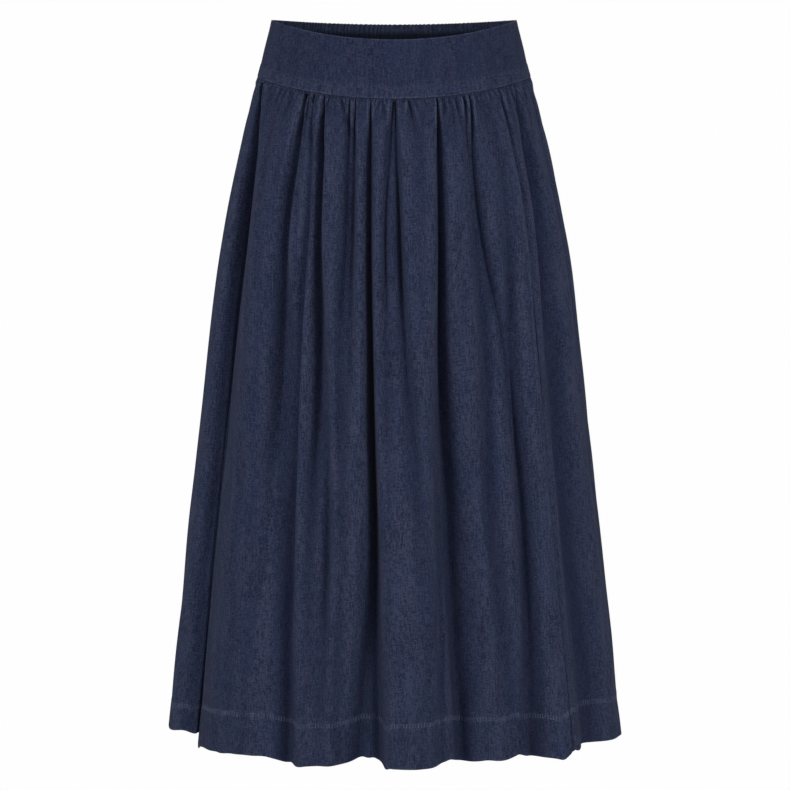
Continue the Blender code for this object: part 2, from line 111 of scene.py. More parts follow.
SECTIONS = tuple(Section(*row) for row in (
    (10.0, 128.0, 94.5), (-20.0, 135.4, 101.0), (-55.0, 144.2, 108.6), (-85.0, 152.3, 114.2),
    (-120.0, 161.2, 118.8), (-180.0, 174.6, 124.4), (-245.0, 186.0, 128.5),
    (-340.0, 198.7, 133.0), (-440.0, 210.4, 137.5), (-570.0, 225.3, 143.4),
    (-670.0, 236.7, 147.4), (-760.0, 246.4, 150.0),
))
STATIONS = (0.0, 0.16, 0.39, 0.65, 1.0)
FOLDS = (
    Fold("left_flank", (-72.5, -66.5, -63, -62.5, -62.5), (6, 14, 18, 19, 18),
         (9, 16, 24, 28, 32), (-6, -14, -18, -18, -16)),
    Fold("left_edge", (-69, -61.8, -57.4, -57.0, -56.6), (15, 20, 19, 15, 15),
         (8, 10, 11.5, 12.5, 11), (-12, -18, -20, -18, -20)),
    Fold("left_pair_a", (-38, -41.5, -39.3, -38, -39), (8, 18, 22, 13, 6),
         (5, 6.5, 10, 16, 22)),
    Fold("left_hollow", (-36.6, -37, -36, -34.6, -34), (3, 9, 11, 7, 2),
         (5, 8, 9, 11, 14)),
    Fold("left_pair_b", (-34, -32.3, -32.6, -31.6, -28.7), (4, 12, 18, 19, 20),
         (4, 6, 8, 9, 13), (0, 2, 4, 4, 2)),
    Fold("left_deep", (-28.8, -27.6, -24.3, -24.4, -25), (9, 18, 23, 16, 4),
         (4.5, 6, 9, 13, 15), (1, 1, 1, 0, 0)),
    Fold("left_low", (-24, -23, -21, -19.5, -19.2), (0, 0, 5, 12, 4),
         (4, 5, 6, 7, 10), (0, 0, 1, 3, 1)),
    Fold("centre_left", (-17.4, -16.9, -16.6, -14.6, -14.2), (5, 12, 9, 8, 6),
         (4.5, 6, 7.5, 8, 14)),
    Fold("centre_left_b", (-15.2, -14.4, -13.4, -12.6, -12.4), (4, 13, 7, 1, 0),
         (3.5, 4.5, 6.5, 8, 10), (0, 1, 1, 0, 0)),
    Fold("centre_low", (-11.4, -11, -9, -6.4, -9.4), (0, 0, 0, 15, 30),
         (5, 6, 6, 13, 20)),
    Fold("centre", (-9, -8.8, -7.4, -5.6, -3.6), (6.5, 16.5, 27, 19, 19),
         (4.5, 4.8, 4.6, 5.4, 10), (0, 1, 1, 1, 1)),
    Fold("centre_short", (-0.4, -2.8, -1.8, -1.4, 0.5), (6.5, 9.5, 9, 2, 0),
         (6, 4.5, 7, 10, 12)),
    Fold("centre_right", (0.6, 1.4, 2.9, 6.8, 6), (6, 11.5, 13, 5, 0),
         (5.5, 4.5, 8, 11, 14), (0, 1, 3, 2, 0)),
    Fold("right_step", (13, 13, 13, 13.1, 12.2), (0, 0, 5, 11, 9),
         (4, 4, 5, 8, 8)),
    Fold("right_deep", (17.2, 17, 16.4, 18.0, 19.2), (8.5, 17, 28, 36, 33),
         (4.5, 5.5, 9, 17, 21), (0, -2, -5, -6, -3)),
    Fold("right_soft", (23.5, 23, 21.5, 23.5, 25), (2, 2, 5, 8, 7),
         (4, 8, 11, 14, 20)),
    Fold("right_broad", (28, 28.2, 30.2, 29.6, 32.5), (0, 7, 18, 17, 13),
         (5, 8, 15, 15, 18)),
    Fold("right_slant", (31.4, 31, 36.2, 36, 34), (6.5, 11.5, 8, 1, 0),
         (4, 4.5, 6, 12, 14), (0, 0, 3, 0, 0)),
    Fold("right_low", (41, 41, 39.2, 39.2, 38.2), (0.5, 3, 16, 21, 26),
         (4, 6, 9.5, 12, 17), (0, 1, 3, 5, 7)),
    Fold("seam_groove", (47.4, 50.6, 49.8, 50.3, 52), (5, 4, 2, 1.5, 1),
         (3.5, 4.1, 4.9, 5.8, 7)),
    Fold("right_side", (59, 60.8, 59.8, 60, 64.5), (7, 14, 14, 13, 16),
         (6, 9.5, 15, 20, 26), (-1, -3, -5, -8, -12)),
    Fold("right_turn", (77, 78, 80, 82, 83), (4, 3, 2, 1, 0),
         (5, 6.4, 8.5, 10.9, 14)),
    Fold("back_a", (104, 106, 107, 108, 108), (8, 13, 17, 21, 26),
         (6, 8.1, 11.1, 14.5, 19), (1, 1.8, 3, 4.2, 6)),
    Fold("back_b", (121, 123, 122, 124, 126), (7, 10, 9, 11, 14),
         (5, 7.4, 10.9, 14.8, 20)),
    Fold("back_c", (136, 137, 139, 140, 142), (12, 16, 20, 25, 32),
         (5, 6.6, 8.9, 11.5, 15), (0, -0.8, -2, -3.2, -5)),
    Fold("back_d", (151, 152, 150, 152, 153), (8, 10, 8, 5, 3),
         (5, 6.8, 9.3, 12.2, 16)),
    Fold("back_e", (163, 162, 163, 164, 165), (9, 14, 18, 21, 27),
         (5, 6.8, 9.3, 12.2, 16), (0, 0.6, 1.6, 2.6, 4)),
    Fold("back_f", (180, 181, 180, 178, 179), (12, 17, 22, 27, 34),
         (5, 6.4, 8.5, 10.9, 14), (0, -0.8, -2, -3.2, -5)),
    Fold("back_g", (194, 195, 197, 199, 199), (8, 10, 10, 11, 17),
         (5, 7.7, 11.6, 16.1, 22)),
    Fold("back_h", (208, 209, 207, 208, 210), (8, 12, 14, 14, 8),
         (5, 6.8, 9.3, 12.2, 16)),
    Fold("back_i", (221, 222, 224, 223, 224), (11, 16, 19, 24, 31),
         (5, 6.8, 9.3, 12.2, 16), (0, 0.8, 2, 3.2, 5)),
    Fold("back_j", (238, 237, 236, 238, 240), (7, 9, 10, 12, 15),
         (5, 7.6, 11.2, 15.4, 21)),
    Fold("back_k", (254, 253, 251, 250, 249), (8, 13, 17, 20, 25),
         (6, 8.1, 11.1, 14.5, 19), (-1, -1.8, -3, -4.2, -6)),
)
FRONT_GATHERS = tuple(Gather(*row) for row in (
    (-66.0, 1.6, 14, 1.6, -1.2), (-62.8, 2.0, 18, 1.6, -1.0), (-59.0, 1.8, 12, 1.5, -1.8),
    (-55.6, 2.0, 14, 1.5, -2.4), (-51.6, 2.6, 16, 1.6, -3.0), (-48.4, 2.8, 14, 1.4, -2.0),
    (-43.2, 3.0, 26, 1.6, -2.8), (-40.7, 2.6, 18, 1.6, -3.0), (-36.6, 2.6, 36, 1.6, 1.4),
    (-33.2, 2.6, 22, 1.5, -3.0), (-31.4, 1.8, 12, 1.4, -1.5), (-26.2, 3.4, 28, 1.6, -2.0),
    (-24.0, 1.2, 9, 1.4, 1.0), (-21.4, 3.4, 28, 1.8, 3.4), (-19.4, 1.8, 12, 1.4, 1.5),
    (-15.4, 2.2, 14, 1.4, 0.6), (-13.6, 1.8, 12, 1.4, -1.0), (-12.2, 2.0, 30, 3.0, 0.0),
    (-10.6, 1.8, 14, 1.4, 1.0), (-7.2, 1.8, 12, 1.4, -1.0), (-5.2, 2.2, 20, 1.5, -2.6),
    (-4.8, 2.2, 24, 1.5, 2.6), (-2.8, 1.8, 12, 1.4, -1.0), (2.0, 1.9, 12, 1.4, -1.4),
    (3.9, 2.0, 12, 1.5, -1.6), (5.8, 5.4, 26, 1.7, 1.6), (8.2, 0.8, 8, 1.5, 0.5),
    (11.2, 0.8, 8, 1.5, 0.0), (14.0, 0.9, 8, 1.5, 0.4), (20.4, 3.2, 30, 1.8, -0.8),
    (22.0, 1.7, 12, 1.4, 1.2), (24.6, 4.2, 24, 1.7, 1.7), (25.6, 1.7, 10, 1.4, 0.6),
    (28.7, 4.4, 40, 1.5, 0.1), (34.2, 1.7, 12, 1.4, 1.0), (37.4, 2.0, 16, 2.4, 0.4),
    (41.0, 1.6, 11, 1.5, 0.8), (44.2, 1.8, 24, 1.6, 2.4), (19.6, 3.2, 20, 1.5, -1.2),
    (-60.4, -2.2, 30, 5.0, -0.4), (-45.4, 3.8, 17, 1.7, -1.2), (-37.0, 3.0, 17, 2.8, 0.0),
    (-33.0, 2.6, 16, 2.4, 0.2), (-28.4, 2.0, 12, 1.6, -0.2), (-19.6, 1.8, 12, 2.4, 1.0),
    (-4.4, 1.4, 12, 3.6, 0.0), (0.6, 2.4, 14, 1.8, 0.0), (22.2, 2.4, 13, 2.6, 0.2),
    (36.4, 1.4, 12, 4.0, 0.0),
))
# Degrees to the next pucker behind the side seams, then the rest as for a gather.
BACK_STEPS = tuple(Gather(*row) for row in (
    (2.9, 2.4, 20, 1.9, -2.0), (3.4, 3.4, 36, 2.1, 1.2), (2.4, 1.8, 12, 1.9, 1.0),
    (4.1, 2.8, 26, 2.0, 2.6), (2.7, 1.7, 10, 1.9, -1.0), (3.8, 3.6, 42, 2.2, -1.4),
    (5.2, 2.0, 16, 1.9, 2.2),
))
FRONT_CRESTS = tuple(Crest(*row) for row in (
    (-67.0, 0.5, 20, -0.6), (-43.0, 0.8, 26, -1.6), (-40.9, 0.6, 15, -1.5),
    (-38.9, 0.9, 64, -0.5), (-34.6, 0.8, 42, 0.7), (-30.0, 0.7, 40, -0.7),
    (-27.2, 0.9, 26, 0.4), (-22.6, 0.7, 14, 3.0), (-20.4, 0.6, 14, 3.2), (-15.8, 0.8, 70, 0.8),
    (-12.9, 0.5, 10, 0.0), (-10.3, 0.9, 80, 0.3), (-6.2, 0.8, 15, -3.4), (-4.9, 0.8, 15, -0.4),
    (-3.5, 0.6, 13, 2.4), (-1.8, 0.6, 30, -0.2), (2.2, 0.8, 30, -1.2), (4.9, 0.9, 36, -1.2),
    (16.1, 0.8, 70, -0.6), (18.1, 0.8, 20, -0.6), (21.4, 0.6, 12, 0.2), (23.3, 0.7, 22, 1.6),
    (27.2, 0.9, 52, 0.3), (30.2, 0.8, 60, -0.5), (32.8, 0.9, 60, -0.1), (35.0, 0.6, 10, 0.8),
    (37.4, 0.6, 12, 1.4), (39.8, 0.5, 10, 0.8), (42.6, 0.5, 12, 0.6), (45.3, 0.6, 40, 0.2),
))
RIGHT_SEAM = (46.7, 49.9, 49.0, 49.5, 51.0)
LEFT_SEAM = (-69.2, -62.0, -57.8, -57.4, -57.2)
HEM_RISES = tuple(Rise(*row) for row in (
    (-70.0, 10.3, 13.0), (-90.0, 4.0, 14.0), (-43.0, 2.6, 6.0), (-34.5, 3.8, 4.2),
    (-29.5, -3.2, 1.8), (-25.6, -4.4, 2.8), (-15.0, -1.6, 7.0), (-8.4, 5.2, 2.4),
    (-5.4, 4.8, 1.6), (-2.3, -4.5, 0.9), (5.0, -1.2, 7.0), (14.8, 5.0, 2.4), (20.5, -3.2, 4.0),
    (25.0, 1.8, 3.0), (34.0, 4.0, 2.4), (38.0, -3.2, 6.0), (46.8, -3.4, 2.2), (51.8, 4.0, 2.2),
    (64.0, 4.8, 9.0),
))


# ---- small curves ---------------------------------------------------------------------
def smooth_table(x: Array | float, xs: Sequence[float], ys: Sequence[float]) -> Array:
    """Cubic through a short table, flat beyond its ends.

    Args:
        x: where to read the curve.
        xs: the table's places, rising.
        ys: the table's values.

    Returns:
        The curve's values, shaped as x.
    """
    xs = np.asarray(xs, float)
    ys = np.asarray(ys, float)
    x = np.clip(np.asarray(x, float), xs[0], xs[-1])
    slope = np.gradient(ys, xs, axis=-1)
    i = np.clip(np.searchsorted(xs, x, side="right") - 1, 0, len(xs) - 2)
    step = xs[i + 1] - xs[i]
    t = (x - xs[i]) / step
    rise = (1 + 2 * t) * (1 - t) ** 2 * ys[..., i] + t * t * (3 - 2 * t) * ys[..., i + 1]
    return rise + step * (t * (1 - t) ** 2 * slope[..., i] - t * t * (1 - t) * slope[..., i + 1])


def ease(x: Array | float) -> Array:
    """Smooth step from 0 at x <= 0 to 1 at x >= 1."""
    x = np.clip(x, 0.0, 1.0)
    return x * x * (3 - 2 * x)


def bump(x: Array | float) -> Array:
    """Round-bottomed valley of height 1 and half-width about 1."""
    return 1.0 / np.cosh(np.clip(1.6 * np.asarray(x), -30, 30))


def bell(x: Array) -> Array:
    """Soft hill of height 1 and half-width 1."""
    return np.exp(-(x ** 2))


def nearest(angle: Array | float, centre: Array | float) -> Array:
    """Signed difference of two angles the short way round, degrees."""
    return (angle - centre + 180.0) % 360.0 - 180.0


def steps(*runs: tuple[float, float]) -> Array:
    """Places from 0 in runs of even steps.

    Args:
        runs: (where the run ends, size of its steps), in order.

    Returns:
        The places, from 0 to the end of the last run.
    """
    places = [0.0]
    for end, size in runs:
        start = places[-1]
        count = max(1, round((end - start) / size))
        places += [start + (end - start) * k / count for k in range(1, count + 1)]
    return np.array(places)


def odd_count(places: Array, at: int) -> Array:
    """The places, with one more after place number at if their count is even."""
    if len(places) % 2:
        return places
    return np.sort(np.append(places, (places[at] + places[at + 1]) / 2))


def along_row(points: Array) -> Array:
    """Share of a row's length, 0 to 1, at each of its points."""
    lengths = np.linalg.norm(np.diff(points, axis=0), axis=1)
    places = np.concatenate([[0.0], np.cumsum(lengths)])
    return places / places[-1]


@dataclass(frozen=True)
class Drift:
    """Slow uneven waves in hanging cloth, the same every run."""

    seed: int
    across: tuple[float, float] = (22.0, 60.0)
    along: tuple[float, float] = (110.0, 420.0)
    count: int = 16

    def __call__(self, u: Array, v: Array | float) -> Array:
        """Height of the waves, about -1 to 1, at cloth places u, v in mm."""
        rng = np.random.default_rng(self.seed)
        total = np.zeros(np.broadcast(u, v).shape)
        for _ in range(self.count):
            a = rng.uniform(*self.across) * rng.choice((-1.0, 1.0))
            b = rng.uniform(*self.along)
            total = total + np.sin(2 * math.pi * (u / a + v / b + rng.uniform(0, 1)))
        return total / math.sqrt(self.count)


# ---- the form -------------------------------------------------------------------------
@dataclass
class SkirtForm:
    """The shape the cloth hangs in; every size in mm, every angle in degrees."""

    hem_z: float
    waist_side_z: float
    front_dip: float = 18.9
    back_dip: float = 5.3
    seam_side_drop: float = 60.5
    seam_front_dip: float = 19.0
    seam_back_dip: float = 7.0
    seam_gap: float = 0.3
    hem_depth: float = 44.0
    puff: float = 3.2
    puff_drop: float = 6.0
    side_puff: float = 0.25
    puff_end: float = 8.0
    puff_fade: float = 60.0
    pinch: float = 0.02
    pinch_drop: float = 5.0
    neck: float = 0.28
    neck_drop: float = 78.0
    roll: float = 0.08
    roll_place: float = 1.5
    roll_width: float = 0.6
    crispness: float = 1.1
    ridge: float = 0.3
    ridge_place: float = 1.7
    ridge_width: float = 0.8
    gather_spread: float = 1.1
    crest_width: float = 0.6
    gather_reach: float = 1.4
    clear_of_fold: float = 2.6
    flank_lift: float = 5.0
    flank_reach: float = 3.0
    corner_drop: float = 12.0
    corner_reach: float = 4.2
    folds: tuple[Fold, ...] = FOLDS

    @classmethod
    def from_frame(cls) -> "SkirtForm":
        """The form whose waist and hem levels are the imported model's."""
        low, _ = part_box("skirt_front")
        _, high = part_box("waistband_front")
        return cls(hem_z=low[2] / MM, waist_side_z=high[2] / MM)

    @property
    def fall(self) -> float:
        """Drop of the panels at the sides, from the seam to the hem."""
        return -self.hem_z + self.waist_side_z - self.seam_side_drop

    @cached_property
    def gathers(self) -> Array:
        """The front puckers from their table and the back ones stepped round the rest."""
        rows = list(FRONT_GATHERS)
        angle = RIGHT_SEAM[0] + 5.6
        k = 0
        while angle < LEFT_SEAM[0] + 358.0:
            step = BACK_STEPS[k % len(BACK_STEPS)]
            if min(abs(angle - f.angle[0] % 360.0) for f in self.folds) > self.clear_of_fold:
                rows.append(step._replace(angle=angle))
            angle += step.angle * (1.0 + 0.12 * math.sin(1.7 * k))
            k += 1
        return np.array(rows)

    @cached_property
    def crests(self) -> Array:
        """The front crests from their table and one beside each pucker behind the seams."""
        rows = list(FRONT_CRESTS)
        for gather in self.gathers[len(FRONT_GATHERS):]:
            side = 1.1 if gather[4] > 0 else -1.1
            rows.append(Crest(gather[0] + side, 0.7, gather[2] * 0.9, gather[4]))
        return np.array(rows)

    def crest_lines(self, top: Array, drop: Array, wide: Array, deep: Array) -> Array:
        """Height of the thin crests below the seam, mm."""
        at, height, length, slant = self.crests.T
        fade = bell(drop[:, None] / length)
        if fade.max() < FAINT:
            return np.zeros(len(top))
        size = self.mm_per_degree(at, wide[:, None], deep[:, None])
        away = nearest(top[:, None], at) * size - slant * drop[:, None] / 10.0
        return (height * fade * bump(away / self.crest_width)).sum(axis=1)

    def stations(self, share: float, key: str) -> Array:
        """A five-station value of every fold at one share of the drop."""
        return smooth_table(share, STATIONS, np.array([getattr(f, key) for f in self.folds]))

    def body(self, z: Array | float) -> tuple[Array, Array]:
        """Half width and half depth of the body at height z."""
        rows = SECTIONS[::-1]
        levels = [s.z for s in rows]
        wide = smooth_table(z, levels, [s.half_width for s in rows])
        deep = smooth_table(z, levels, [s.half_depth for s in rows])
        return wide, deep

    def top_edge(self, angle: Array | float) -> Array:
        """Height of the waistband's top edge."""
        c = np.cos(np.radians(angle))
        return self.waist_side_z - np.where(c > 0, self.front_dip, self.back_dip) * c * c

    def seam_line(self, angle: Array | float) -> Array:
        """Height of the seam between waistband and panels."""
        c = np.cos(np.radians(angle))
        dip = np.where(c > 0, self.seam_front_dip, self.seam_back_dip)
        return self.waist_side_z - self.seam_side_drop - dip * c * c

    @staticmethod
    def mm_per_degree(angle: Array | float, wide: Array, deep: Array) -> Array:
        """Length of one degree round the body at this angle."""
        a = np.radians(angle)
        return np.hypot(wide * np.cos(a), deep * np.sin(a)) * math.pi / 180.0

    def lower_angle(self, top: Array, share: float) -> Array:
        """Angle that a column has at this share of the drop, from its angle at the seam."""
        lines = np.array(sorted([f.angle for f in self.folds] + [RIGHT_SEAM, LEFT_SEAM]))
        here = smooth_table(share, STATIONS, lines)
        turns = (-360.0, 0.0, 360.0)
        at_top = np.concatenate([lines[:, 0] + turn for turn in turns])
        return np.interp(top, at_top, np.concatenate([here + turn for turn in turns]))

    def hem_line(self, angle: Array) -> Array:
        """Height of the hem edge, a little higher where the cloth is pulled in."""
        line = np.full(np.shape(angle), self.hem_z)
        for rise in HEM_RISES:
            line = line + rise.height * bump(nearest(angle, rise.angle) / rise.spread)
        return line

    def seam_step(self, top: Array) -> Array:
        """How much higher the hem is just behind the left seam, and lower just before it, mm."""
        behind = (LEFT_SEAM[0] + 360.0 - top) / self.flank_reach
        before = np.maximum(top - LEFT_SEAM[0], 0.0) / self.corner_reach
        return self.flank_lift * bell(behind) - self.corner_drop * np.exp(-before)

    def ring(self, angle: Array, share: float) -> tuple[Array, Array]:
        """Half width and half depth of the body at this share of the drop."""
        seam = self.seam_line(angle)
        return self.body(seam + (self.hem_z - seam) * share)

    def drop(self, top: Array, share: float) -> Array:
        """Depth below the seam, mm, at this share of the drop."""
        angle = self.lower_angle(top, share)
        return (self.seam_line(angle) - self.hem_line(angle) - self.seam_step(top)) * share

    def skirt(self, top: Array, share: float, shift: Array, relief: Array) -> Array:
        """Middle of the gathered cloth.

        Args:
            top: the columns' angles at the seam.
            share: share of the drop from seam to hem.
            shift: mm to move the points along the ring.
            relief: mm to raise the points outwards.

        Returns:
            Points in mm, one for each column.
        """
        angle = self.lower_angle(top, share)
        wide, deep = self.ring(angle, share)
        angle = angle + shift / self.mm_per_degree(angle, wide, deep)
        seam = self.seam_line(angle)
        drop = (seam - self.hem_line(angle) - self.seam_step(top)) * share
        z = seam - drop
        wide, deep = self.body(z)
        facing = np.cos(np.radians(angle)) ** 2
        stands = self.puff * (self.side_puff + (1 - self.side_puff) * facing)
        faded = 1 - ease((drop - self.puff_end) / self.puff_fade)
        inward = -stands * ease(drop / self.puff_drop) * faded
        centre = self.stations(share, "angle")
        size = self.mm_per_degree(centre, wide[:, None], deep[:, None])
        neck = self.neck + (1 - self.neck) * ease(drop / self.neck_drop)
        along = nearest(angle[:, None], centre) * size / self.stations(share, "width")
        along = along / neck[:, None]
        shape = bump(along)
        depths = self.stations(share, "depth")
        rolled = bump((along - self.roll_place) / self.roll_width)
        inward = inward + shape @ depths - self.roll * (rolled @ depths)
        sideways = shape @ self.stations(share, "lean")
        at, depth, length, width, slant = self.gathers.T
        fade = np.exp(-(drop[:, None] / (self.gather_reach * length)) ** 1.5)
        if fade.max() > FAINT:
            spread = width * (1 + self.gather_spread * drop[:, None] / length)
            size = self.mm_per_degree(at, wide[:, None], deep[:, None])
            away = (nearest(top[:, None], at) * size - slant * drop[:, None] / 10.0) / spread
            beside = away - self.ridge_place * np.sign(slant + 0.01)
            shape = bump(away) - self.ridge * bump(beside / self.ridge_width)
            inward = inward + self.crispness * (depth * fade * shape).sum(axis=1)
        inward = inward - self.crest_lines(top, drop, wide, deep)
        grip = self.pinch + (1 - self.pinch) * ease(drop / self.pinch_drop)
        inward = inward * grip - relief
        sideways = sideways * grip
        return self.placed(angle, wide, deep, inward, sideways, z)

    def band(self, angle: Array, share: float, shift: Array, relief: Array) -> Array:
        """Middle of a waistband's cloth: share 0 is its top edge and 1 the seam."""
        wide, deep = self.body(self.top_edge(angle))
        angle = angle + shift / self.mm_per_degree(angle, wide, deep)
        top = self.top_edge(angle)
        z = top + (self.seam_line(angle) + self.seam_gap - top) * share
        wide, deep = self.body(z)
        return self.placed(angle, wide, deep, -relief, 0.0, z)

    @staticmethod
    def placed(
        angle: Array, wide: Array, deep: Array, inward: Array, sideways: Array | float, z: Array
    ) -> Array:
        """Points on the body's ellipse, moved inwards and sideways along it."""
        a = np.radians(angle)
        nx = np.sin(a) / wide
        ny = -np.cos(a) / deep
        length = np.hypot(nx, ny)
        nx = nx / length
        ny = ny / length
        x = wide * np.sin(a) - nx * inward - ny * sideways
        y = -deep * np.cos(a) - ny * inward + nx * sideways
        return np.stack([x, y, z + 0.0 * x], axis=-1)


def linked(name: str, data: bpy.types.ID) -> bpy.types.Object:
    """A new object in the scene."""
    made = bpy.data.objects.new(name, data)
    bpy.context.scene.collection.objects.link(made)
    return made


# ---- closed sheets of cloth -----------------------------------------------------------
class Side(Enum):
    """The two sides of a piece of cloth, by its material place."""

    RIGHT = 0
    WRONG = 1


@dataclass
class ClothSheet:
    """One closed sheet: rows of outer points, top row first, and as many inner ones."""

    name: str
    outer: Array
    inner: Array
    cloth: Array
    masks: dict[str, Array]
    lip_steps: int = 3
    sharp: float = 58.0

    def lip(self, row: int, towards: Array) -> list[Array]:
        """Rows that round an edge from the outer face to the inner one.

        Args:
            row: the row that the edge closes.
            towards: points one row in from the edge, which give its direction.

        Returns:
            The rounding rows, outer side first.
        """
        middle = (self.outer[row] + self.inner[row]) / 2
        half = (self.outer[row] - self.inner[row]) / 2
        away = middle - towards
        away /= np.linalg.norm(away, axis=-1, keepdims=True)
        radius = np.linalg.norm(half, axis=-1, keepdims=True)
        turns = [math.pi * k / (self.lip_steps + 1) for k in range(1, self.lip_steps + 1)]
        return [middle + half * math.cos(t) + away * radius * math.sin(t) for t in turns]

    def build(self) -> bpy.types.Object:
        """Makes the mesh, with its cloth map, masks and material places."""
        rows, columns = self.outer.shape[:2]
        thin = list(range(0, rows, 2))
        inner = self.inner[thin]
        second = (self.outer[1] + self.inner[1]) / 2
        before = (self.outer[-2] + self.inner[-2]) / 2
        hem = self.lip(-1, before)
        top = self.lip(0, second)[::-1]
        ring = np.concatenate([self.outer, hem, inner[::-1], top])
        cloth = self.round_ring(self.cloth, thin, len(hem), len(top))
        count = len(ring)
        wrong = range(rows + len(hem), rows + len(hem) + len(inner) - 1)
        k, j = np.meshgrid(np.arange(count), np.arange(columns - 1), indexing="ij")
        after = (k + 1) % count
        here, there = k * columns + j, after * columns + j
        quads = np.stack([here, there, there + 1, here + 1], -1).reshape(-1, 4)
        inside = np.isin(k.reshape(-1), list(wrong))
        side = np.where(inside, Side.WRONG.value, Side.RIGHT.value)
        faces = quads.tolist()
        first, last = self.caps(rows, len(hem), len(inner), count, columns)
        faces += first + last
        side = np.append(side, [Side.RIGHT.value] * (len(first) + len(last)))

        mesh = bpy.data.meshes.new(self.name)
        mesh.from_pydata(ring.reshape(-1, 3).tolist(), [], faces)
        mesh.polygons.foreach_set("material_index", side)
        mesh.polygons.foreach_set("use_smooth", np.ones(len(faces), bool))
        mesh.set_sharp_from_angle(angle=math.radians(self.sharp))
        corners = np.empty(len(mesh.loops), int)
        mesh.loops.foreach_get("vertex_index", corners)
        layer = mesh.uv_layers.new(name="cloth")
        layer.data.foreach_set("uv", cloth.reshape(-1, 2)[corners].astype(np.float32).ravel())
        for name, mask in self.masks.items():
            full = self.round_ring(mask, thin, len(hem), len(top))
            layer = mesh.attributes.new(name, "FLOAT", "POINT")
            layer.data.foreach_set("value", full.astype(np.float32).ravel())
        mesh.update()
        return linked(self.name, mesh)

    @staticmethod
    def round_ring(values: Array, thin: list[int], hem: int, top: int) -> Array:
        """Values of the outer rows, carried round the hem, the inner rows and the top."""
        return np.concatenate(
            [values, [values[-1]] * hem, values[thin][::-1], [values[0]] * top]
        )

    @staticmethod
    def caps(rows: int, hem: int, inner: int, count: int, columns: int) -> tuple[list, list]:
        """Faces that close the two side edges.

        Args:
            rows: number of outer rows.
            hem: number of rounding rows at the hem.
            inner: number of inner rows.
            count: number of rows round the whole ring.
            columns: number of columns.

        Returns:
            The faces at the first column and those at the last.
        """
        deep = [rows + hem + inner - 1 - i for i in range(inner)]
        flat: list[tuple[int, ...]] = []
        for i in range(inner - 1):
            a, b, c = 2 * i, 2 * i + 1, 2 * i + 2
            flat += [(a, b, deep[i]), (b, deep[i + 1], deep[i]), (b, c, deep[i + 1])]
        flat.append(tuple(range(rows - 1, rows + hem + 1)))
        flat.append((rows + hem + inner - 1, *range(rows + hem + inner, count), 0))
        last = [tuple(k * columns + columns - 1 for k in face) for face in flat]
        first = [tuple(k * columns for k in reversed(face)) for face in flat]
        return first, last


@dataclass
class Draping:
    """Turns a surface of the form into outer and inner rows of points."""

    surface: Callable[[Array, float, Array], Array]
    columns: Array
    gap: float
    turn: float = 0.05
    step: float = 0.0006

    def normal(self, share: float, shift: Array) -> Array:
        """Outward unit normals of one row, by small differences."""
        across = self.surface(self.columns + self.turn, share, shift)
        across = across - self.surface(self.columns - self.turn, share, shift)
        low = max(share - self.step, 0.0)
        high = min(share + self.step, 1.0)
        down = self.surface(self.columns, high, shift) - self.surface(self.columns, low, shift)
        normal = np.cross(down, across)
        return normal / np.linalg.norm(normal, axis=-1, keepdims=True)

    def row(self, share: float, outward: float, wall: float) -> tuple[Array, Array, Array]:
        """One row of the sheet.

        Args:
            share: share of the way from the sheet's top edge to its lower one.
            outward: how far the outer face stands out from the form's middle, mm.
            wall: thickness of the cloth there, mm.

        Returns:
            Outer points and inner points in metres, and the normals.
        """
        shift = np.zeros(len(self.columns))
        shift[0] = self.gap / 2
        shift[-1] = -self.gap / 2
        middle = self.surface(self.columns, share, shift)
        normal = self.normal(share, shift)
        outer = middle + normal * outward
        return outer * MM, (outer - normal * wall) * MM, normal


# ---- node tools -----------------------------------------------------------------------
Socket = bpy.types.NodeSocket


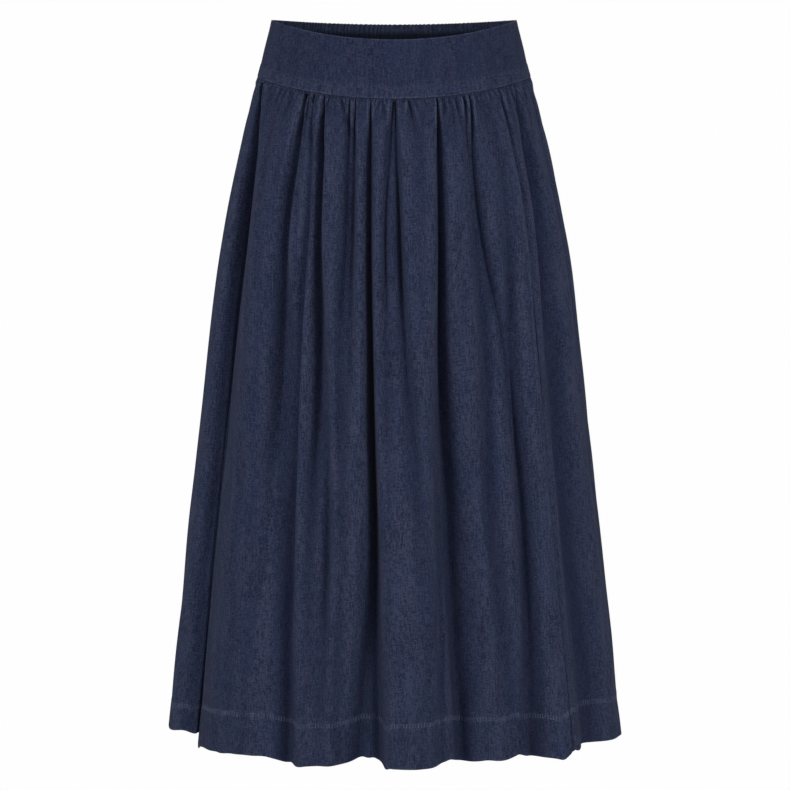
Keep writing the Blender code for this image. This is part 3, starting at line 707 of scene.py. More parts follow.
@dataclass
class Wiring:
    """Short calls that add and join nodes in one tree."""

    tree: bpy.types.NodeTree

    def add(self, kind: str, settings: dict | None = None, **values: object) -> bpy.types.Node:
        """Adds a node.

        Args:
            kind: the node's type name.
            settings: its own properties.
            values: constants or sockets for its inputs, by number (i0, i1) or by name.

        Returns:
            The new node.
        """
        node = self.tree.nodes.new(kind)
        for name, value in (settings or {}).items():
            setattr(node, name, value)
        for name, value in values.items():
            numbered = name[0] == "i" and name[1:].isdigit()
            key = int(name[1:]) if numbered else name.replace("_", " ")
            self.feed(node.inputs[key], value)
        return node

    def feed(self, target: Socket, value: object) -> None:
        """Joins a socket to an input, or sets the input's constant."""
        if isinstance(value, Socket):
            self.tree.links.new(value, target)
        else:
            target.default_value = value

    def math(self, operation: str, a: object, b: object = 0.0, c: object = 0.0) -> Socket:
        """A Math node's result."""
        node = self.add("ShaderNodeMath", {"operation": operation}, i0=a, i1=b, i2=c)
        return node.outputs[0]

    def times(self, a: object, b: object) -> Socket:
        """Two values multiplied."""
        return self.math("MULTIPLY", a, b)

    def times_plus(self, a: object, b: object, c: object) -> Socket:
        """Two values multiplied and a third added."""
        return self.math("MULTIPLY_ADD", a, b, c)

    def wave(self, place: object, pitch: Socket) -> Socket:
        """A wave, 0 to 1, that repeats every pitch."""
        return self.swing(self.math("DIVIDE", place, pitch))

    def swing(self, turns: Socket) -> Socket:
        """A wave, 0 to 1, by its number of turns."""
        return self.times_plus(self.math("SINE", self.times(turns, 2 * math.pi)), 0.5, 0.5)

    def mask(self, name: str) -> Socket:
        """A mask of the piece, by name."""
        return self.add("ShaderNodeAttribute", {"attribute_name": name}).outputs["Fac"]

    def ramp(
        self, value: Socket, low: float, high: float, to_low: float = 0.0, to_high: float = 1.0
    ) -> Socket:
        """A smooth step of a value from one range to another."""
        node = self.add(
            "ShaderNodeMapRange", {"interpolation_type": "SMOOTHSTEP"},
            i0=value, i1=low, i2=high, i3=to_low, i4=to_high,
        )
        return node.outputs[0]

    def noise(self, place: Socket, size: Colour, detail: float, roughness: float) -> Socket:
        """Noise, 0 to 1 round 0.5, with its grain sizes given in metres."""
        scaled = self.add("ShaderNodeVectorMath", {"operation": "MULTIPLY"}, i0=place)
        scaled.inputs[1].default_value = tuple(1.0 / s for s in size)
        node = self.add(
            "ShaderNodeTexNoise", {"noise_dimensions": "3D"},
            Vector=scaled.outputs[0], Scale=1.0, Detail=detail, Roughness=roughness,
        )
        return node.outputs[0]

    def mix(self, share: object, a: object, b: object) -> Socket:
        """A colour between two, by a share."""
        node = self.add("ShaderNodeMix", {"data_type": "RGBA"}, i0=share)
        self.feed(node.inputs[6], (*a, 1.0) if isinstance(a, tuple) else a)
        self.feed(node.inputs[7], (*b, 1.0) if isinstance(b, tuple) else b)
        return node.outputs[2]


def new_group(name: str, inputs: dict[str, tuple[str, object]], outputs: dict[str, str]) -> tuple:
    """Starts a shader node group.

    Args:
        name: the group's name.
        inputs: socket type and default for each input.
        outputs: socket type for each output.

    Returns:
        Its wiring, its inputs by name, and the node that takes its outputs.
    """
    tree = bpy.data.node_groups.new(name, "ShaderNodeTree")
    for key, (kind, default) in inputs.items():
        socket = tree.interface.new_socket(name=key, in_out="INPUT", socket_type=kind)
        if default is not None:
            socket.default_value = default
    for key, kind in outputs.items():
        tree.interface.new_socket(name=key, in_out="OUTPUT", socket_type=kind)
    wires = Wiring(tree)
    start = wires.add("NodeGroupInput")
    end = wires.add("NodeGroupOutput")
    return wires, start.outputs, end


def new_material(name: str) -> tuple[bpy.types.Material, Wiring, bpy.types.Node]:
    """Starts a material: itself, its wiring and its Principled shader."""
    made = bpy.data.materials.new(name)
    made.use_nodes = True
    return made, Wiring(made.node_tree), made.node_tree.nodes["Principled BSDF"]


# ---- finishes -------------------------------------------------------------------------
class Weave:
    """Shader groups that every denim finish shares, each built once."""

    FLOAT = "NodeSocketFloat"
    VECTOR = "NodeSocketVector"

    def __init__(self) -> None:
        """Builds the groups."""
        self.yarn = self.build_yarn()
        self.twill = self.build_twill()
        self.puckers = self.build_puckers()

    def build_yarn(self) -> bpy.types.NodeTree:
        """Uneven warp yarns: long slubs, short runs, pale flecks and soft mottling."""
        wires, given, end = new_group(
            "indigo_yarn",
            {
                "Cloth": (self.VECTOR, None),
                "Slub": (self.FLOAT, 1.0),
                "Pick": (self.FLOAT, 1.0),
                "Grain": (self.FLOAT, 1.0),
                "Mottle": (self.FLOAT, 1.0),
            },
            {"Shade": self.FLOAT, "Fleck": self.FLOAT, "Tint": self.FLOAT},
        )
        place = given["Cloth"]
        slub = wires.noise(place, (0.0017, 0.010, 1.0), 1.0, 0.5)
        pick = wires.noise(place, (0.0080, 0.0013, 1.0), 1.0, 0.5)
        grain = wires.noise(place, (0.0016, 0.0022, 1.0), 1.0, 0.6)
        mottle = wires.noise(place, (0.012, 0.060, 1.0), 3.0, 0.6)
        tint = wires.noise(place, (0.022, 0.060, 1.0), 2.0, 0.6)
        total = 0.5
        for part, amount in ((slub, "Slub"), (pick, "Pick"), (grain, "Grain"), (mottle, "Mottle")):
            centred = wires.math("SUBTRACT", part, 0.5)
            total = wires.times_plus(centred, given[amount], total)
        specks = wires.noise(place, (0.0008, 0.0026, 1.0), 0.0, 0.5)
        wires.feed(end.inputs["Shade"], total)
        wires.feed(end.inputs["Fleck"], wires.ramp(specks, 0.64, 0.80))
        wires.feed(end.inputs["Tint"], wires.ramp(tint, 0.35, 0.65))
        return wires.tree

    def build_twill(self) -> bpy.types.NodeTree:
        """Diagonal ribs of a three-and-one twill over its warp yarns."""
        wires, given, end = new_group(
            "twill_weave",
            {
                "Cloth": (self.VECTOR, None),
                "Rib": (self.FLOAT, 0.00085),
                "Yarn": (self.FLOAT, 0.00045),
            },
            {"Height": self.FLOAT, "Weft": self.FLOAT},
        )
        split = wires.add("ShaderNodeSeparateXYZ", i0=given["Cloth"])
        slope = wires.times_plus(split.outputs[1], 0.62, split.outputs[0])
        rib = wires.wave(slope, given["Rib"])
        yarn = wires.wave(split.outputs[0], given["Yarn"])
        height = wires.times_plus(rib, 0.65, wires.times(yarn, 0.35))
        wires.feed(end.inputs["Height"], height)
        wires.feed(end.inputs["Weft"], wires.ramp(height, 0.0, 0.35, 1.0, 0.0))
        return wires.tree

    def build_puckers(self) -> bpy.types.NodeTree:
        """Small ribs that a row of stitches draws up in the cloth on either side."""
        wires, given, end = new_group(
            "stitch_puckers",
            {
                "Cloth": (self.VECTOR, None),
                "Near": (self.FLOAT, 0.0),
                "Pitch": (self.FLOAT, 0.0027),
            },
            {"Height": self.FLOAT, "Rub": self.FLOAT},
        )
        split = wires.add("ShaderNodeSeparateXYZ", i0=given["Cloth"])
        wobble = wires.noise(given["Cloth"], (0.006, 0.010, 1.0), 1.0, 0.5)
        turn = wires.math("DIVIDE", split.outputs[0], given["Pitch"])
        turn = wires.times_plus(wobble, 2.2, turn)
        rise = wires.times(wires.swing(turn), given["Near"])
        wires.feed(end.inputs["Height"], rise)
        wires.feed(end.inputs["Rub"], wires.times(rise, wobble))
        return wires.tree


@dataclass(frozen=True)
class Denim:
    """Washed indigo twill: its dark and pale yarn colours and how strong each effect is."""

    name: str
    dark: Colour = (0.0086, 0.0120, 0.0372)
    pale: Colour = (0.0342, 0.0416, 0.0858)
    cool: Colour = (0.0130, 0.0270, 0.0640)
    fleck: Colour = (0.1200, 0.1320, 0.1860)
    # Pale colour of wear and of the painted highlight on crests and ridges.
    fade: Colour = (0.0880, 0.1020, 0.1720)
    # Dark colour that the painted shade darkens towards.
    deep: Colour = (0.0080, 0.0110, 0.0330)
    slub: float = 1.75
    pick: float = 1.25
    grain: float = 1.8
    mottle: float = 1.1
    roughness: float = 0.9
    relief: float = 0.00010
    pucker: float = 0.00030
    # The mask that carries the painted shade, and how strongly it darkens.
    painted_shade_mask: str = "painted_shade_and_tone"
    painted_shade_strength: float = 0.45
    tint: float = 0.38
    weft: float = 0.10
    flecks: float = 0.30
    rub: float = 0.55
    grain_relief: float = 1.4
    gloss: float = 0.08

    def material(self, weave: Weave) -> bpy.types.Material:
        """Builds the finish.

        Args:
            weave: the shared node groups.

        Returns:
            The material, reading the piece's cloth map and masks.
        """
        made, wires, shader = new_material(self.name)
        cloth = wires.add("ShaderNodeUVMap", {"uv_map": "cloth"}).outputs[0]
        wear_and_highlight = wires.mask("wear_and_highlight")
        near = wires.mask("stitched")
        painted_shade_strength = wires.mask(self.painted_shade_mask)
        yarn = wires.add(
            "ShaderNodeGroup", {"node_tree": weave.yarn},
            Cloth=cloth, Slub=self.slub, Pick=self.pick, Grain=self.grain, Mottle=self.mottle,
        )
        twill = wires.add("ShaderNodeGroup", {"node_tree": weave.twill}, Cloth=cloth)
        drawn = wires.add("ShaderNodeGroup", {"node_tree": weave.puckers}, Cloth=cloth, Near=near)
        indigo = wires.mix(yarn.outputs["Shade"], self.dark, self.pale)
        tinted = wires.times(yarn.outputs["Tint"], self.tint)
        indigo = wires.mix(tinted, indigo, self.cool)
        weft = wires.times(twill.outputs["Weft"], self.weft)
        indigo = wires.mix(weft, indigo, self.fleck)
        flecks = wires.times(yarn.outputs["Fleck"], self.flecks)
        indigo = wires.mix(flecks, indigo, self.fleck)
        # Paler towards the fade colour by rubbed puckers and by the wear mask, which also carries
        # painted highlight.
        worn_and_highlit = wires.times_plus(drawn.outputs["Rub"], self.rub, wear_and_highlight)
        worn_and_highlit = wires.times(worn_and_highlit, wires.ramp(yarn.outputs["Shade"], 0.2, 0.8, 0.3, 1.6))
        indigo = wires.mix(worn_and_highlit, indigo, self.fade)
        # Painted shade: darker towards the deep colour by the shade mask.
        indigo = wires.mix(wires.times(painted_shade_strength, self.painted_shade_strength), indigo, self.deep)
        wires.feed(shader.inputs["Base Color"], indigo)
        height = wires.times(twill.outputs["Height"], self.relief)
        grain = wires.times(yarn.outputs["Shade"], self.relief * self.grain_relief)
        height = wires.math("ADD", height, grain)
        height = wires.times_plus(drawn.outputs["Height"], self.pucker, height)
        raised = wires.add("ShaderNodeBump", Strength=1.0, Distance=1.0, Height=height)
        wires.feed(shader.inputs["Normal"], raised.outputs[0])
        rough = wires.times_plus(yarn.outputs["Shade"], -self.gloss, self.roughness + 0.04)
        wires.feed(shader.inputs["Roughness"], rough)
        shader.inputs["Specular IOR Level"].default_value = 0.10
        shader.inputs["Sheen Weight"].default_value = 0.03
        shader.inputs["Sheen Roughness"].default_value = 0.55
        return made


@dataclass(frozen=True)
class Thread:
    """Sewing thread: its colour and the fine twist of its plies."""

    name: str
    colour: Colour
    deep: Colour
    roughness: float = 0.7

    def material(self) -> bpy.types.Material:
        """Builds the finish from Object coordinates."""
        made, wires, shader = new_material(self.name)
        place = wires.add("ShaderNodeTexCoord").outputs["Object"]
        twist = wires.noise(place, (0.0002, 0.0002, 0.0002), 1.0, 0.5)
        uneven = wires.noise(place, (0.012, 0.012, 0.012), 2.0, 0.6)
        colour = wires.mix(wires.ramp(uneven, 0.35, 0.65), self.deep, self.colour)
        wires.feed(shader.inputs["Base Color"], colour)
        raised = wires.add("ShaderNodeBump", Strength=0.6, Distance=0.00005, Height=twist)
        wires.feed(shader.inputs["Normal"], raised.outputs[0])
        shader.inputs["Roughness"].default_value = self.roughness
        shader.inputs["Specular IOR Level"].default_value = 0.3
        return made


# ---- sewing ---------------------------------------------------------------------------
class StitchTree:
    """Geometry nodes that lay stitches along a path: one tree for every row."""

    INPUTS = (
        ("Pitch", "NodeSocketFloat", 0.0026),
        ("Length", "NodeSocketFloat", 0.0022),
        ("Across", "NodeSocketFloat", 0.0004),
        ("Thread", "NodeSocketFloat", 0.0004),
        ("Sink", "NodeSocketFloat", 0.00008),
        ("Seed", "NodeSocketInt", 3),
        ("Finish", "NodeSocketMaterial", None),
    )
    WANDER = (0.00012, 0.00010, 0.00004)
    TILT = (0.0, 0.0, 0.10)

    def __init__(self) -> None:
        """Builds the tree."""
        self.tree = bpy.data.node_groups.new("stitch_row", "GeometryNodeTree")
        face = self.tree.interface
        face.new_socket(name="Geometry", in_out="INPUT", socket_type="NodeSocketGeometry")
        self.keys: dict[str, str] = {}
        for name, kind, default in self.INPUTS:
            socket = face.new_socket(name=name, in_out="INPUT", socket_type=kind)
            if default is not None:
                socket.default_value = default
            self.keys[name] = socket.identifier
        face.new_socket(name="Geometry", in_out="OUTPUT", socket_type="NodeSocketGeometry")
        wires = Wiring(self.tree)
        given = wires.add("NodeGroupInput").outputs
        path = wires.add("GeometryNodeMeshToCurve", i0=given["Geometry"])
        spaced = wires.add(
            "GeometryNodeResampleCurve", {"mode": "LENGTH"},
            Curve=path.outputs[0], Length=given["Pitch"],
        )
        bead = wires.add("GeometryNodeMeshUVSphere", Segments=6, Rings=4, Radius=0.5)
        tangent = wires.add("GeometryNodeInputTangent")
        outward = wires.add(
            "GeometryNodeInputNamedAttribute", {"data_type": "FLOAT_VECTOR"}, Name="outward"
        )
        turned = wires.add(
            "FunctionNodeAxesToRotation", {"primary_axis": "X", "secondary_axis": "Z"},
            i0=tangent.outputs[0], i1=outward.outputs[0],
        )
        size = wires.add(
            "ShaderNodeCombineXYZ", X=given["Length"], Y=given["Across"], Z=given["Thread"]
        )
        laid = wires.add(
            "GeometryNodeInstanceOnPoints", Points=spaced.outputs[0], Instance=bead.outputs[0],
            Rotation=turned.outputs[0], Scale=size.outputs[0],
        )
        wander = self.chance(wires, given["Seed"], self.WANDER)
        down = wires.add("ShaderNodeCombineXYZ", Z=wires.times(given["Sink"], -1.0))
        offset = wires.add(
            "ShaderNodeVectorMath", {"operation": "ADD"}, i0=wander.outputs[0], i1=down.outputs[0]
        )
        moved = wires.add(
            "GeometryNodeTranslateInstances", Instances=laid.outputs[0],
            Translation=offset.outputs[0], Local_Space=True,
        )
        tilt = self.chance(wires, given["Seed"], self.TILT)
        spun = wires.add(
            "GeometryNodeRotateInstances", Instances=moved.outputs[0], Rotation=tilt.outputs[0],
            Local_Space=True,
        )
        real = wires.add("GeometryNodeRealizeInstances", i0=spun.outputs[0])
        smooth = wires.add("GeometryNodeSetShadeSmooth", i0=real.outputs[0])
        done = wires.add("GeometryNodeSetMaterial", i0=smooth.outputs[0], Material=given["Finish"])
        wires.add("NodeGroupOutput", i0=done.outputs[0])

    @staticmethod
    def chance(wires: Wiring, seed: Socket, most: Colour) -> bpy.types.Node:
        """A random vector for each stitch, up to most either way."""
        node = wires.add("FunctionNodeRandomValue", {"data_type": "FLOAT_VECTOR"}, Seed=seed)
        node.inputs[0].default_value = tuple(0.0 - value for value in most)
        node.inputs[1].default_value = most
        return node

    def sew(
        self, name: str, points: Array, normals: Array, sizes: dict[str, float],
        finish: bpy.types.Material,
    ) -> bpy.types.Object:
        """Lays one row of stitches and makes it a plain mesh.

        Args:
            name: the piece's name.
            points: the path, in metres.
            normals: the cloth's outward direction along it.
            sizes: the tree's inputs by name.
            finish: the thread's material.

        Returns:
            The row of stitches.
        """
        mesh = bpy.data.meshes.new(name + "_path")
        edges = [(i, i + 1) for i in range(len(points) - 1)]
        mesh.from_pydata(points.tolist(), edges, [])
        layer = mesh.attributes.new("outward", "FLOAT_VECTOR", "POINT")
        layer.data.foreach_set("vector", normals.astype(np.float32).ravel())
        path = linked(name + "_path", mesh)
        rule = path.modifiers.new("stitches", "NODES")
        rule.node_group = self.tree
        for key, value in sizes.items():
            rule[self.keys[key]] = value
        rule[self.keys["Finish"]] = finish
        solid = path.evaluated_get(bpy.context.evaluated_depsgraph_get())
        made = bpy.data.meshes.new_from_object(solid)
        made.name = name
        bpy.data.objects.remove(path, do_unlink=True)
        bpy.data.meshes.remove(mesh)
        return linked(name, made)


# ---- pieces ---------------------------------------------------------------------------
Sides = tuple[bpy.types.Material, bpy.types.Material]


@dataclass
class SewnPiece:
    """A cut piece of denim: rows of points down the cloth and columns across it."""

    form: SkirtForm
    name: str
    node: str
    start: float
    end: float
    count: int = 400
    wall: float = 1.2
    hem_wall: float = 1.2
    outward: float = 0.6
    rows: Array = field(init=False)
    columns: Array = field(init=False)
    outer: Array = field(init=False)
    normals: Array = field(init=False)

    def surface(self, angle: Array, share: float, shift: Array) -> Array:
        """Middle of the cloth with its fine form, mm."""
        raise NotImplementedError

    def mask(self) -> dict[str, Array]:
        """Masks of the piece, rows by columns."""
        raise NotImplementedError

    def cloth_row(self, share: float, points: Array) -> tuple[Array, Array]:
        """Where one row lies on the flat cloth, metres across and along."""
        raise NotImplementedError

    def lay(self, places: Array, tall: float, sides: Sides) -> bpy.types.Object:
        """Lays the cloth row by row and makes the piece.

        Args:
            places: mm down the cloth of each row.
            tall: length of the cloth that the places measure, mm.
            sides: the finishes of its right and its wrong side.

        Returns:
            The piece, with its finishes.
        """
        self.rows = places / tall
        self.rows[0] = (self.wall / 2) / tall
        self.rows[-1] = 1 - (self.hem_wall / 2) / tall
        self.columns = np.linspace(self.start, self.end, self.count)
        draping = Draping(self.surface, self.columns, self.form.seam_gap)
        outer, inner, normals, cloth = [], [], [], []
        for share in self.rows:
            turned = float(ease((self.form.hem_depth + 1 - (1 - share) * tall) / 2))
            wall = self.wall + (self.hem_wall - self.wall) * turned
            out, back, normal = draping.row(share, self.outward, wall)
            outer.append(out)
            inner.append(back)
            normals.append(normal)
            cloth.append(np.stack(self.cloth_row(share, out), -1))
        self.outer = np.array(outer)
        self.normals = np.array(normals)
        sheet = ClothSheet(self.name, self.outer, np.array(inner), np.array(cloth), self.mask())
        piece = sheet.build()
        for material in sides:
            piece.data.materials.append(material)
        return piece

    def along(self, share: Array) -> tuple[Array, Array]:
        """A path over the outer face.

        Args:
            share: share of the way down the cloth, for each column.

        Returns:
            Points in metres and normals.
        """
        level = np.interp(share, self.rows, np.arange(len(self.rows)))
        low = np.clip(np.floor(level).astype(int), 0, len(self.outer) - 2)
        part = (level - low)[:, None]
        j = np.arange(len(self.columns))
        points = self.outer[low, j] * (1 - part) + self.outer[low + 1, j] * part
        normals = self.normals[low, j] * (1 - part) + self.normals[low + 1, j] * part
        return points, normals / np.linalg.norm(normals, axis=-1, keepdims=True)


@dataclass
class Panel(SewnPiece):
    """A gathered panel, from the waistband seam to its stitched hem; heights in mm."""

    count: int = 560
    wall: float = 1.0
    hem_wall: float = 1.9
    cut_top: float = 0.46
    cut_hem: float = 0.58
    mm_per_degree: float = 3.4
    crumple: float = 0.42
    crumple_drop: float = 8.0
    waves: float = 0.75
    waves_drop: float = 70.0
    turned_hem: float = 0.30
    rope: float = 0.22
    rope_reach: float = 14.0
    edge_tuck: float = 0.7
    edge_ridge: float = 0.35
    edge_run: float = 13.0
    crest_first: float = 0.0
    crest_last: float = 0.0
    crest_reach: float = 14.0
    tuck: float = 0.0
    corner: float = 0.0
    hem_wear: float = 0.16
    row_wear: float = 0.05
    # Crests near the seam and the crest lines are partly wear and partly painted highlight; broad
    # ridges are painted highlight.
    seam_crest_wear_and_highlight: float = 0.12
    crest_line_wear_and_highlight: float = 0.17
    ridge_highlight: float = 0.09
    drift: Drift = Drift(11)

    def edge_distance(self, top: Array, share: float) -> tuple[Array, Array]:
        """Distance from the panel's first and last edge along the ring, mm."""
        angle = self.form.lower_angle(top, share)
        first, last = self.form.lower_angle(np.array([self.start, self.end]), share)
        size = self.form.mm_per_degree(angle, *self.form.ring(angle, share))
        return (angle - first) * size, (last - angle) * size

    def relief(self, top: Array, share: float) -> Array:
        """Fine form of the cloth over the long folds, mm outwards."""
        drop = self.form.drop(top, share)
        left = (1 - share) * (drop / max(share, 1e-6)) if share > 0 else np.full(len(top), 700.0)
        u = top * self.mm_per_degree
        crumple = np.sin(top * 4.65 + 1.3 * np.sin(top * 0.9)) + 0.6 * np.sin(top * 7.3 + 2.0)
        height = self.crumple * crumple * np.exp(-((drop / self.crumple_drop) ** 1.5))
        height = height + self.waves * self.drift(u, drop) * ease(drop / self.waves_drop)
        turned = ease((self.hem_height(top) + 1.2 - left) / 2.4)
        height = height + self.turned_hem * turned
        rope = np.sin(2 * math.pi * (u / 17.0 + left / 60.0) + 2.0 * np.sin(u / 31.0))
        near_row = bell((left - self.hem_height(top) + 6.0) / self.rope_reach)
        height = height + self.rope * rope * near_row
        first, last = self.edge_distance(top, share)
        near = np.minimum(first, last)
        height = height - self.edge_tuck * bell(near / 1.8)
        ridge = ease((near - 2.0) / 3.0) * (1 - ease((near - self.edge_run) / 4.0))
        crest = self.crest_first * np.exp(-np.abs(first) / self.crest_reach)
        crest = crest + self.crest_last * np.exp(-np.abs(last) / self.crest_reach)
        return height + (self.edge_ridge * ridge + crest) * ease(drop / 40.0)

    def surface(self, angle: Array, share: float, shift: Array) -> Array:
        """Middle of the cloth with its fine form, mm."""
        return self.form.skirt(angle, share, shift, self.relief(angle, share))

    def cloth_row(self, share: float, points: Array) -> tuple[Array, Array]:
        """Where one row lies on the flat cloth, metres across and along."""
        wide = self.cut_top + (self.cut_hem - self.cut_top) * share
        across = (along_row(points) - 0.5) * wide
        return across, np.full(self.count, -share * self.form.fall * MM)

    def build(self, sides: Sides) -> bpy.types.Object:
        """Makes the panel, its rows closest at the seam and at the hem's stitches."""
        total = self.form.fall
        places = steps(
            (12, 1.0), (44, 1.6), (110, 4.4), (total - 52, 13.5), (total - 40, 1.5), (total, 2.9)
        )
        return self.lay(odd_count(places, -31), total, sides)

    def hem_height(self, top: Array) -> Array:
        """Height of the hem's stitch row above the edge for each column, mm."""
        waver = 0.5 * np.sin(top / 3.1) + 0.3 * np.sin(top / 1.3 + 1.0)
        turned = waver - self.tuck * bump(nearest(top, -82.0) / 26.0)
        turned = turned - self.corner * np.exp(-(top - self.start) / 2.6)
        return self.form.hem_depth + turned + 3.5 * bump(nearest(top, 5.0) / 18.0)

    def hem_path(self, offset: float) -> tuple[Array, Array]:
        """Path of a stitch row of the hem, offset mm above the middle of the sewing."""
        return self.along(1 - (self.hem_height(self.columns) + offset) / self.form.fall)

    def mask(self) -> dict[str, Array]:
        """Wear along the edges and seams, wear and painted highlight on crests, painted highlight
        on ridges, painted shade in hollows, and how near the hem's stitches are.
        """
        total = self.form.fall
        left = (1 - self.rows)[:, None] * total
        drop = self.rows[:, None] * total
        stitched = bell((left - self.hem_height(self.columns)[None, :]) / 3.0)
        wear_and_highlight = self.hem_wear * bell(left / 1.6) + self.row_wear * stitched
        near = np.array([
            np.minimum(*self.edge_distance(self.columns, float(share))) for share in self.rows
        ])
        wear_and_highlight = wear_and_highlight + 0.05 * bell((near - 4.0) / 2.0)
        # Partly wear, partly painted highlight: raised crests, most near the seam, and the crest
        # lines turn paler.
        raised_crests = np.clip((self.stand(3) - 0.06) / 0.5, 0.0, 1.0)
        wear_and_highlight = wear_and_highlight + raised_crests * (0.04 + self.seam_crest_wear_and_highlight * bell(drop / 30.0))
        wear_and_highlight = wear_and_highlight + self.crest_line_wear_and_highlight * self.crest_mask()
        broad = self.stand(24)
        # Painted highlight: broad ridges that stand out turn paler.
        wear_and_highlight = wear_and_highlight + self.ridge_highlight * np.clip(broad / 2.5, 0.0, 1.0)
        # Painted shade: hollows below the broad average darken, more so lower down the skirt.
        low = 1.0 + 0.9 * ease((drop - 330.0) / 220.0)
        painted_shade_and_tone = np.clip(-broad * low / 9.0, 0.0, 0.9)
        # Painted shade just below the seam where the gathers are tightest, less on raised crests.
        left_drawn = 0.55 * bump((self.columns + 14.0) / 20.0)
        drawn = 0.45 + left_drawn + 0.55 * bump((self.columns - 27.0) / 10.0)
        painted_shade_and_tone = painted_shade_and_tone + 0.85 * drawn * bell(drop / 38.0) * (1 - 0.7 * raised_crests)
        # The panels' wrong side takes an even painted shade of 0.2 through the inside mask.
        return {"wear_and_highlight": wear_and_highlight, "stitched": stitched, "painted_shade_and_tone": painted_shade_and_tone, "inside": 0.0 * wear_and_highlight + 0.2}

    def crest_mask(self) -> Array:
        """Where the thin crests below the seam run, rows by columns."""
        form = self.form
        lines = []
        for share in self.rows:
            angle = form.lower_angle(self.columns, float(share))
            drop = form.drop(self.columns, float(share))
            wide, deep = form.body(form.seam_line(angle) - drop)
            lines.append(form.crest_lines(self.columns, drop, wide, deep))
        return np.clip(np.array(lines), 0.0, 1.0)

    def stand(self, reach: int) -> Array:
        """How far each point stands out from the cloth up to reach columns beside it, mm."""
        out = np.linalg.norm(self.outer[:, :, :2], axis=-1) / MM
        wide = np.pad(out, ((0, 0), (reach, reach)), mode="edge")
        beside = sum(wide[:, k:k + out.shape[1]] for k in range(2 * reach + 1))
        return out - beside / (2 * reach + 1)


@dataclass
class Waistband(SewnPiece):
    """Half of the waistband, edge-stitched at the top and topstitched at the seam."""

    ruche: float = 0.0
    cut_per_degree: float = 2.13
    map_per_degree: float = 2.0
    edge_per_degree: float = 2.3
    drift_per_degree: float = 2.2
    allowance: float = 12.5
    ruche_edge: float = 18.0
    edge_row: float = 1.3
    seam_row: float = 1.2
    drift: Drift = Drift(5, (45.0, 120.0), (40.0, 160.0), 10)

    def height(self, angle: Array) -> Array:
        """Height of the band from its top edge to the seam, mm."""
        return self.form.top_edge(angle) - self.form.seam_line(angle)

    def near_edge(self, angle: Array) -> Array:
        """Distance from the nearer side edge, mm."""
        first = (angle - self.start) * self.edge_per_degree
        return np.minimum(first, (self.end - angle) * self.edge_per_degree)

    def relief(self, angle: Array, share: float) -> Array:
        """Fine form of the band, mm outwards."""
        tall = self.height(angle)
        down = tall * share
        up = tall - down
        u = angle * self.drift_per_degree
        turned = 1 - ease((up - self.allowance) / 3.0)
        height = 0.50 * turned * ease((up + 1.0) / 3.0)
        pucker = np.sin(angle * 2.45 + 1.1 * np.sin(angle * 0.63)) + 0.5 * np.sin(angle * 4.3)
        height = height + 0.16 * pucker * bell(up / 8.0)
        height = height + 0.35 * self.drift(u, down) * ease(down / 12.0) * ease(up / 12.0)
        height = height - 0.20 * bell((down - self.edge_row) / 1.1)
        height = height - 0.22 * bell((up - self.seam_row) / 0.9)
        near = self.near_edge(angle)
        height = height - 0.7 * bell(near / 2.2)
        if self.ruche > 0:
            wave = np.sin(angle * 3.05 + 1.6 * np.sin(angle * 0.37))
            wave = wave + 0.45 * np.sin(angle * 5.9 + 1.0)
            held = 1 - 0.6 * ease((14.0 - up) / 14.0)
            height = height + self.ruche * wave * ease(near / self.ruche_edge) * held
        return height

    def surface(self, angle: Array, share: float, shift: Array) -> Array:
        """Middle of the band with its fine form, mm."""
        points = self.form.band(angle, share, shift, self.relief(angle, share))
        if self.ruche > 0:
            inside = ease(self.near_edge(angle) / self.ruche_edge)
            wave = np.sin(angle * 3.05 + 1.6 * np.sin(angle * 0.37) + 1.0)
            points[..., 2] += 0.45 * self.ruche * wave * inside * (1 - share) ** 2
        return points

    def cloth_row(self, share: float, points: Array) -> tuple[Array, Array]:
        """Where one row lies on the flat cloth, metres across and along."""
        wide = (self.end - self.start) * self.map_per_degree * MM
        across = np.linspace(-0.5, 0.5, self.count) * wide
        return across, -share * self.height(self.columns) * MM

    def build(self, sides: Sides) -> bpy.types.Object:
        """Makes the band, its rows closest at the top edge and the seam."""
        places = odd_count(steps((7, 0.6), (44, 2.4), (60.5, 0.75)), 20)
        return self.lay(places, places[-1], sides)

    def mask(self) -> dict[str, Array]:
        """Wear along the top edge, the seam allowance and the stitch rows, a darker tone above the
        allowance, and painted shade inside.
        """
        tall = self.height(self.columns)[None, :]
        down = self.rows[:, None] * tall
        up = tall - down
        wear_and_highlight = 0.55 * bell(down / 1.0) + 0.07 * bell(up / 1.0)
        wear_and_highlight = wear_and_highlight + 0.06 * (1 - ease((up - 12.0) / 4.0))
        stitched = 0.5 * bell((up - self.seam_row) / 1.6)
        stitched = stitched + 0.3 * bell((down - self.edge_row) / 1.2)
        # Darker above the strip over the seam allowance.
        painted_shade_and_tone = 0.15 + 0.30 * ease((up - 11.0) / 5.0)
        # Painted shade: the wrong side darkens below its top 6.5 mm, where the inside of the band
        # lies in shade.
        inside = ease((down - 6.5) / 4.5)
        return {"wear_and_highlight": wear_and_highlight, "stitched": stitched, "painted_shade_and_tone": painted_shade_and_tone, "inside": inside}

    def row_path(self, down: float) -> tuple[Array, Array]:
        """Path of a stitch row; down is mm below the top edge, or above the seam if negative."""
        share = down / self.height(self.columns)
        return self.along(share if down > 0 else 1 + share)


# ---- studio ---------------------------------------------------------------------------
@dataclass(frozen=True)
class Softbox:
    """A square area light that looks at the skirt, sizes in metres and watts."""

    name: str
    place: Colour
    size: float
    power: float

    def hang(self, aim: Vector) -> None:
        """Adds the light to the scene."""
        light = bpy.data.lights.new(self.name, "AREA")
        light.size = self.size
        light.energy = self.power
        holder = linked(self.name, light)
        holder.location = self.place
        holder.rotation_euler = (aim - Vector(self.place)).to_track_quat("-Z", "Y").to_euler()


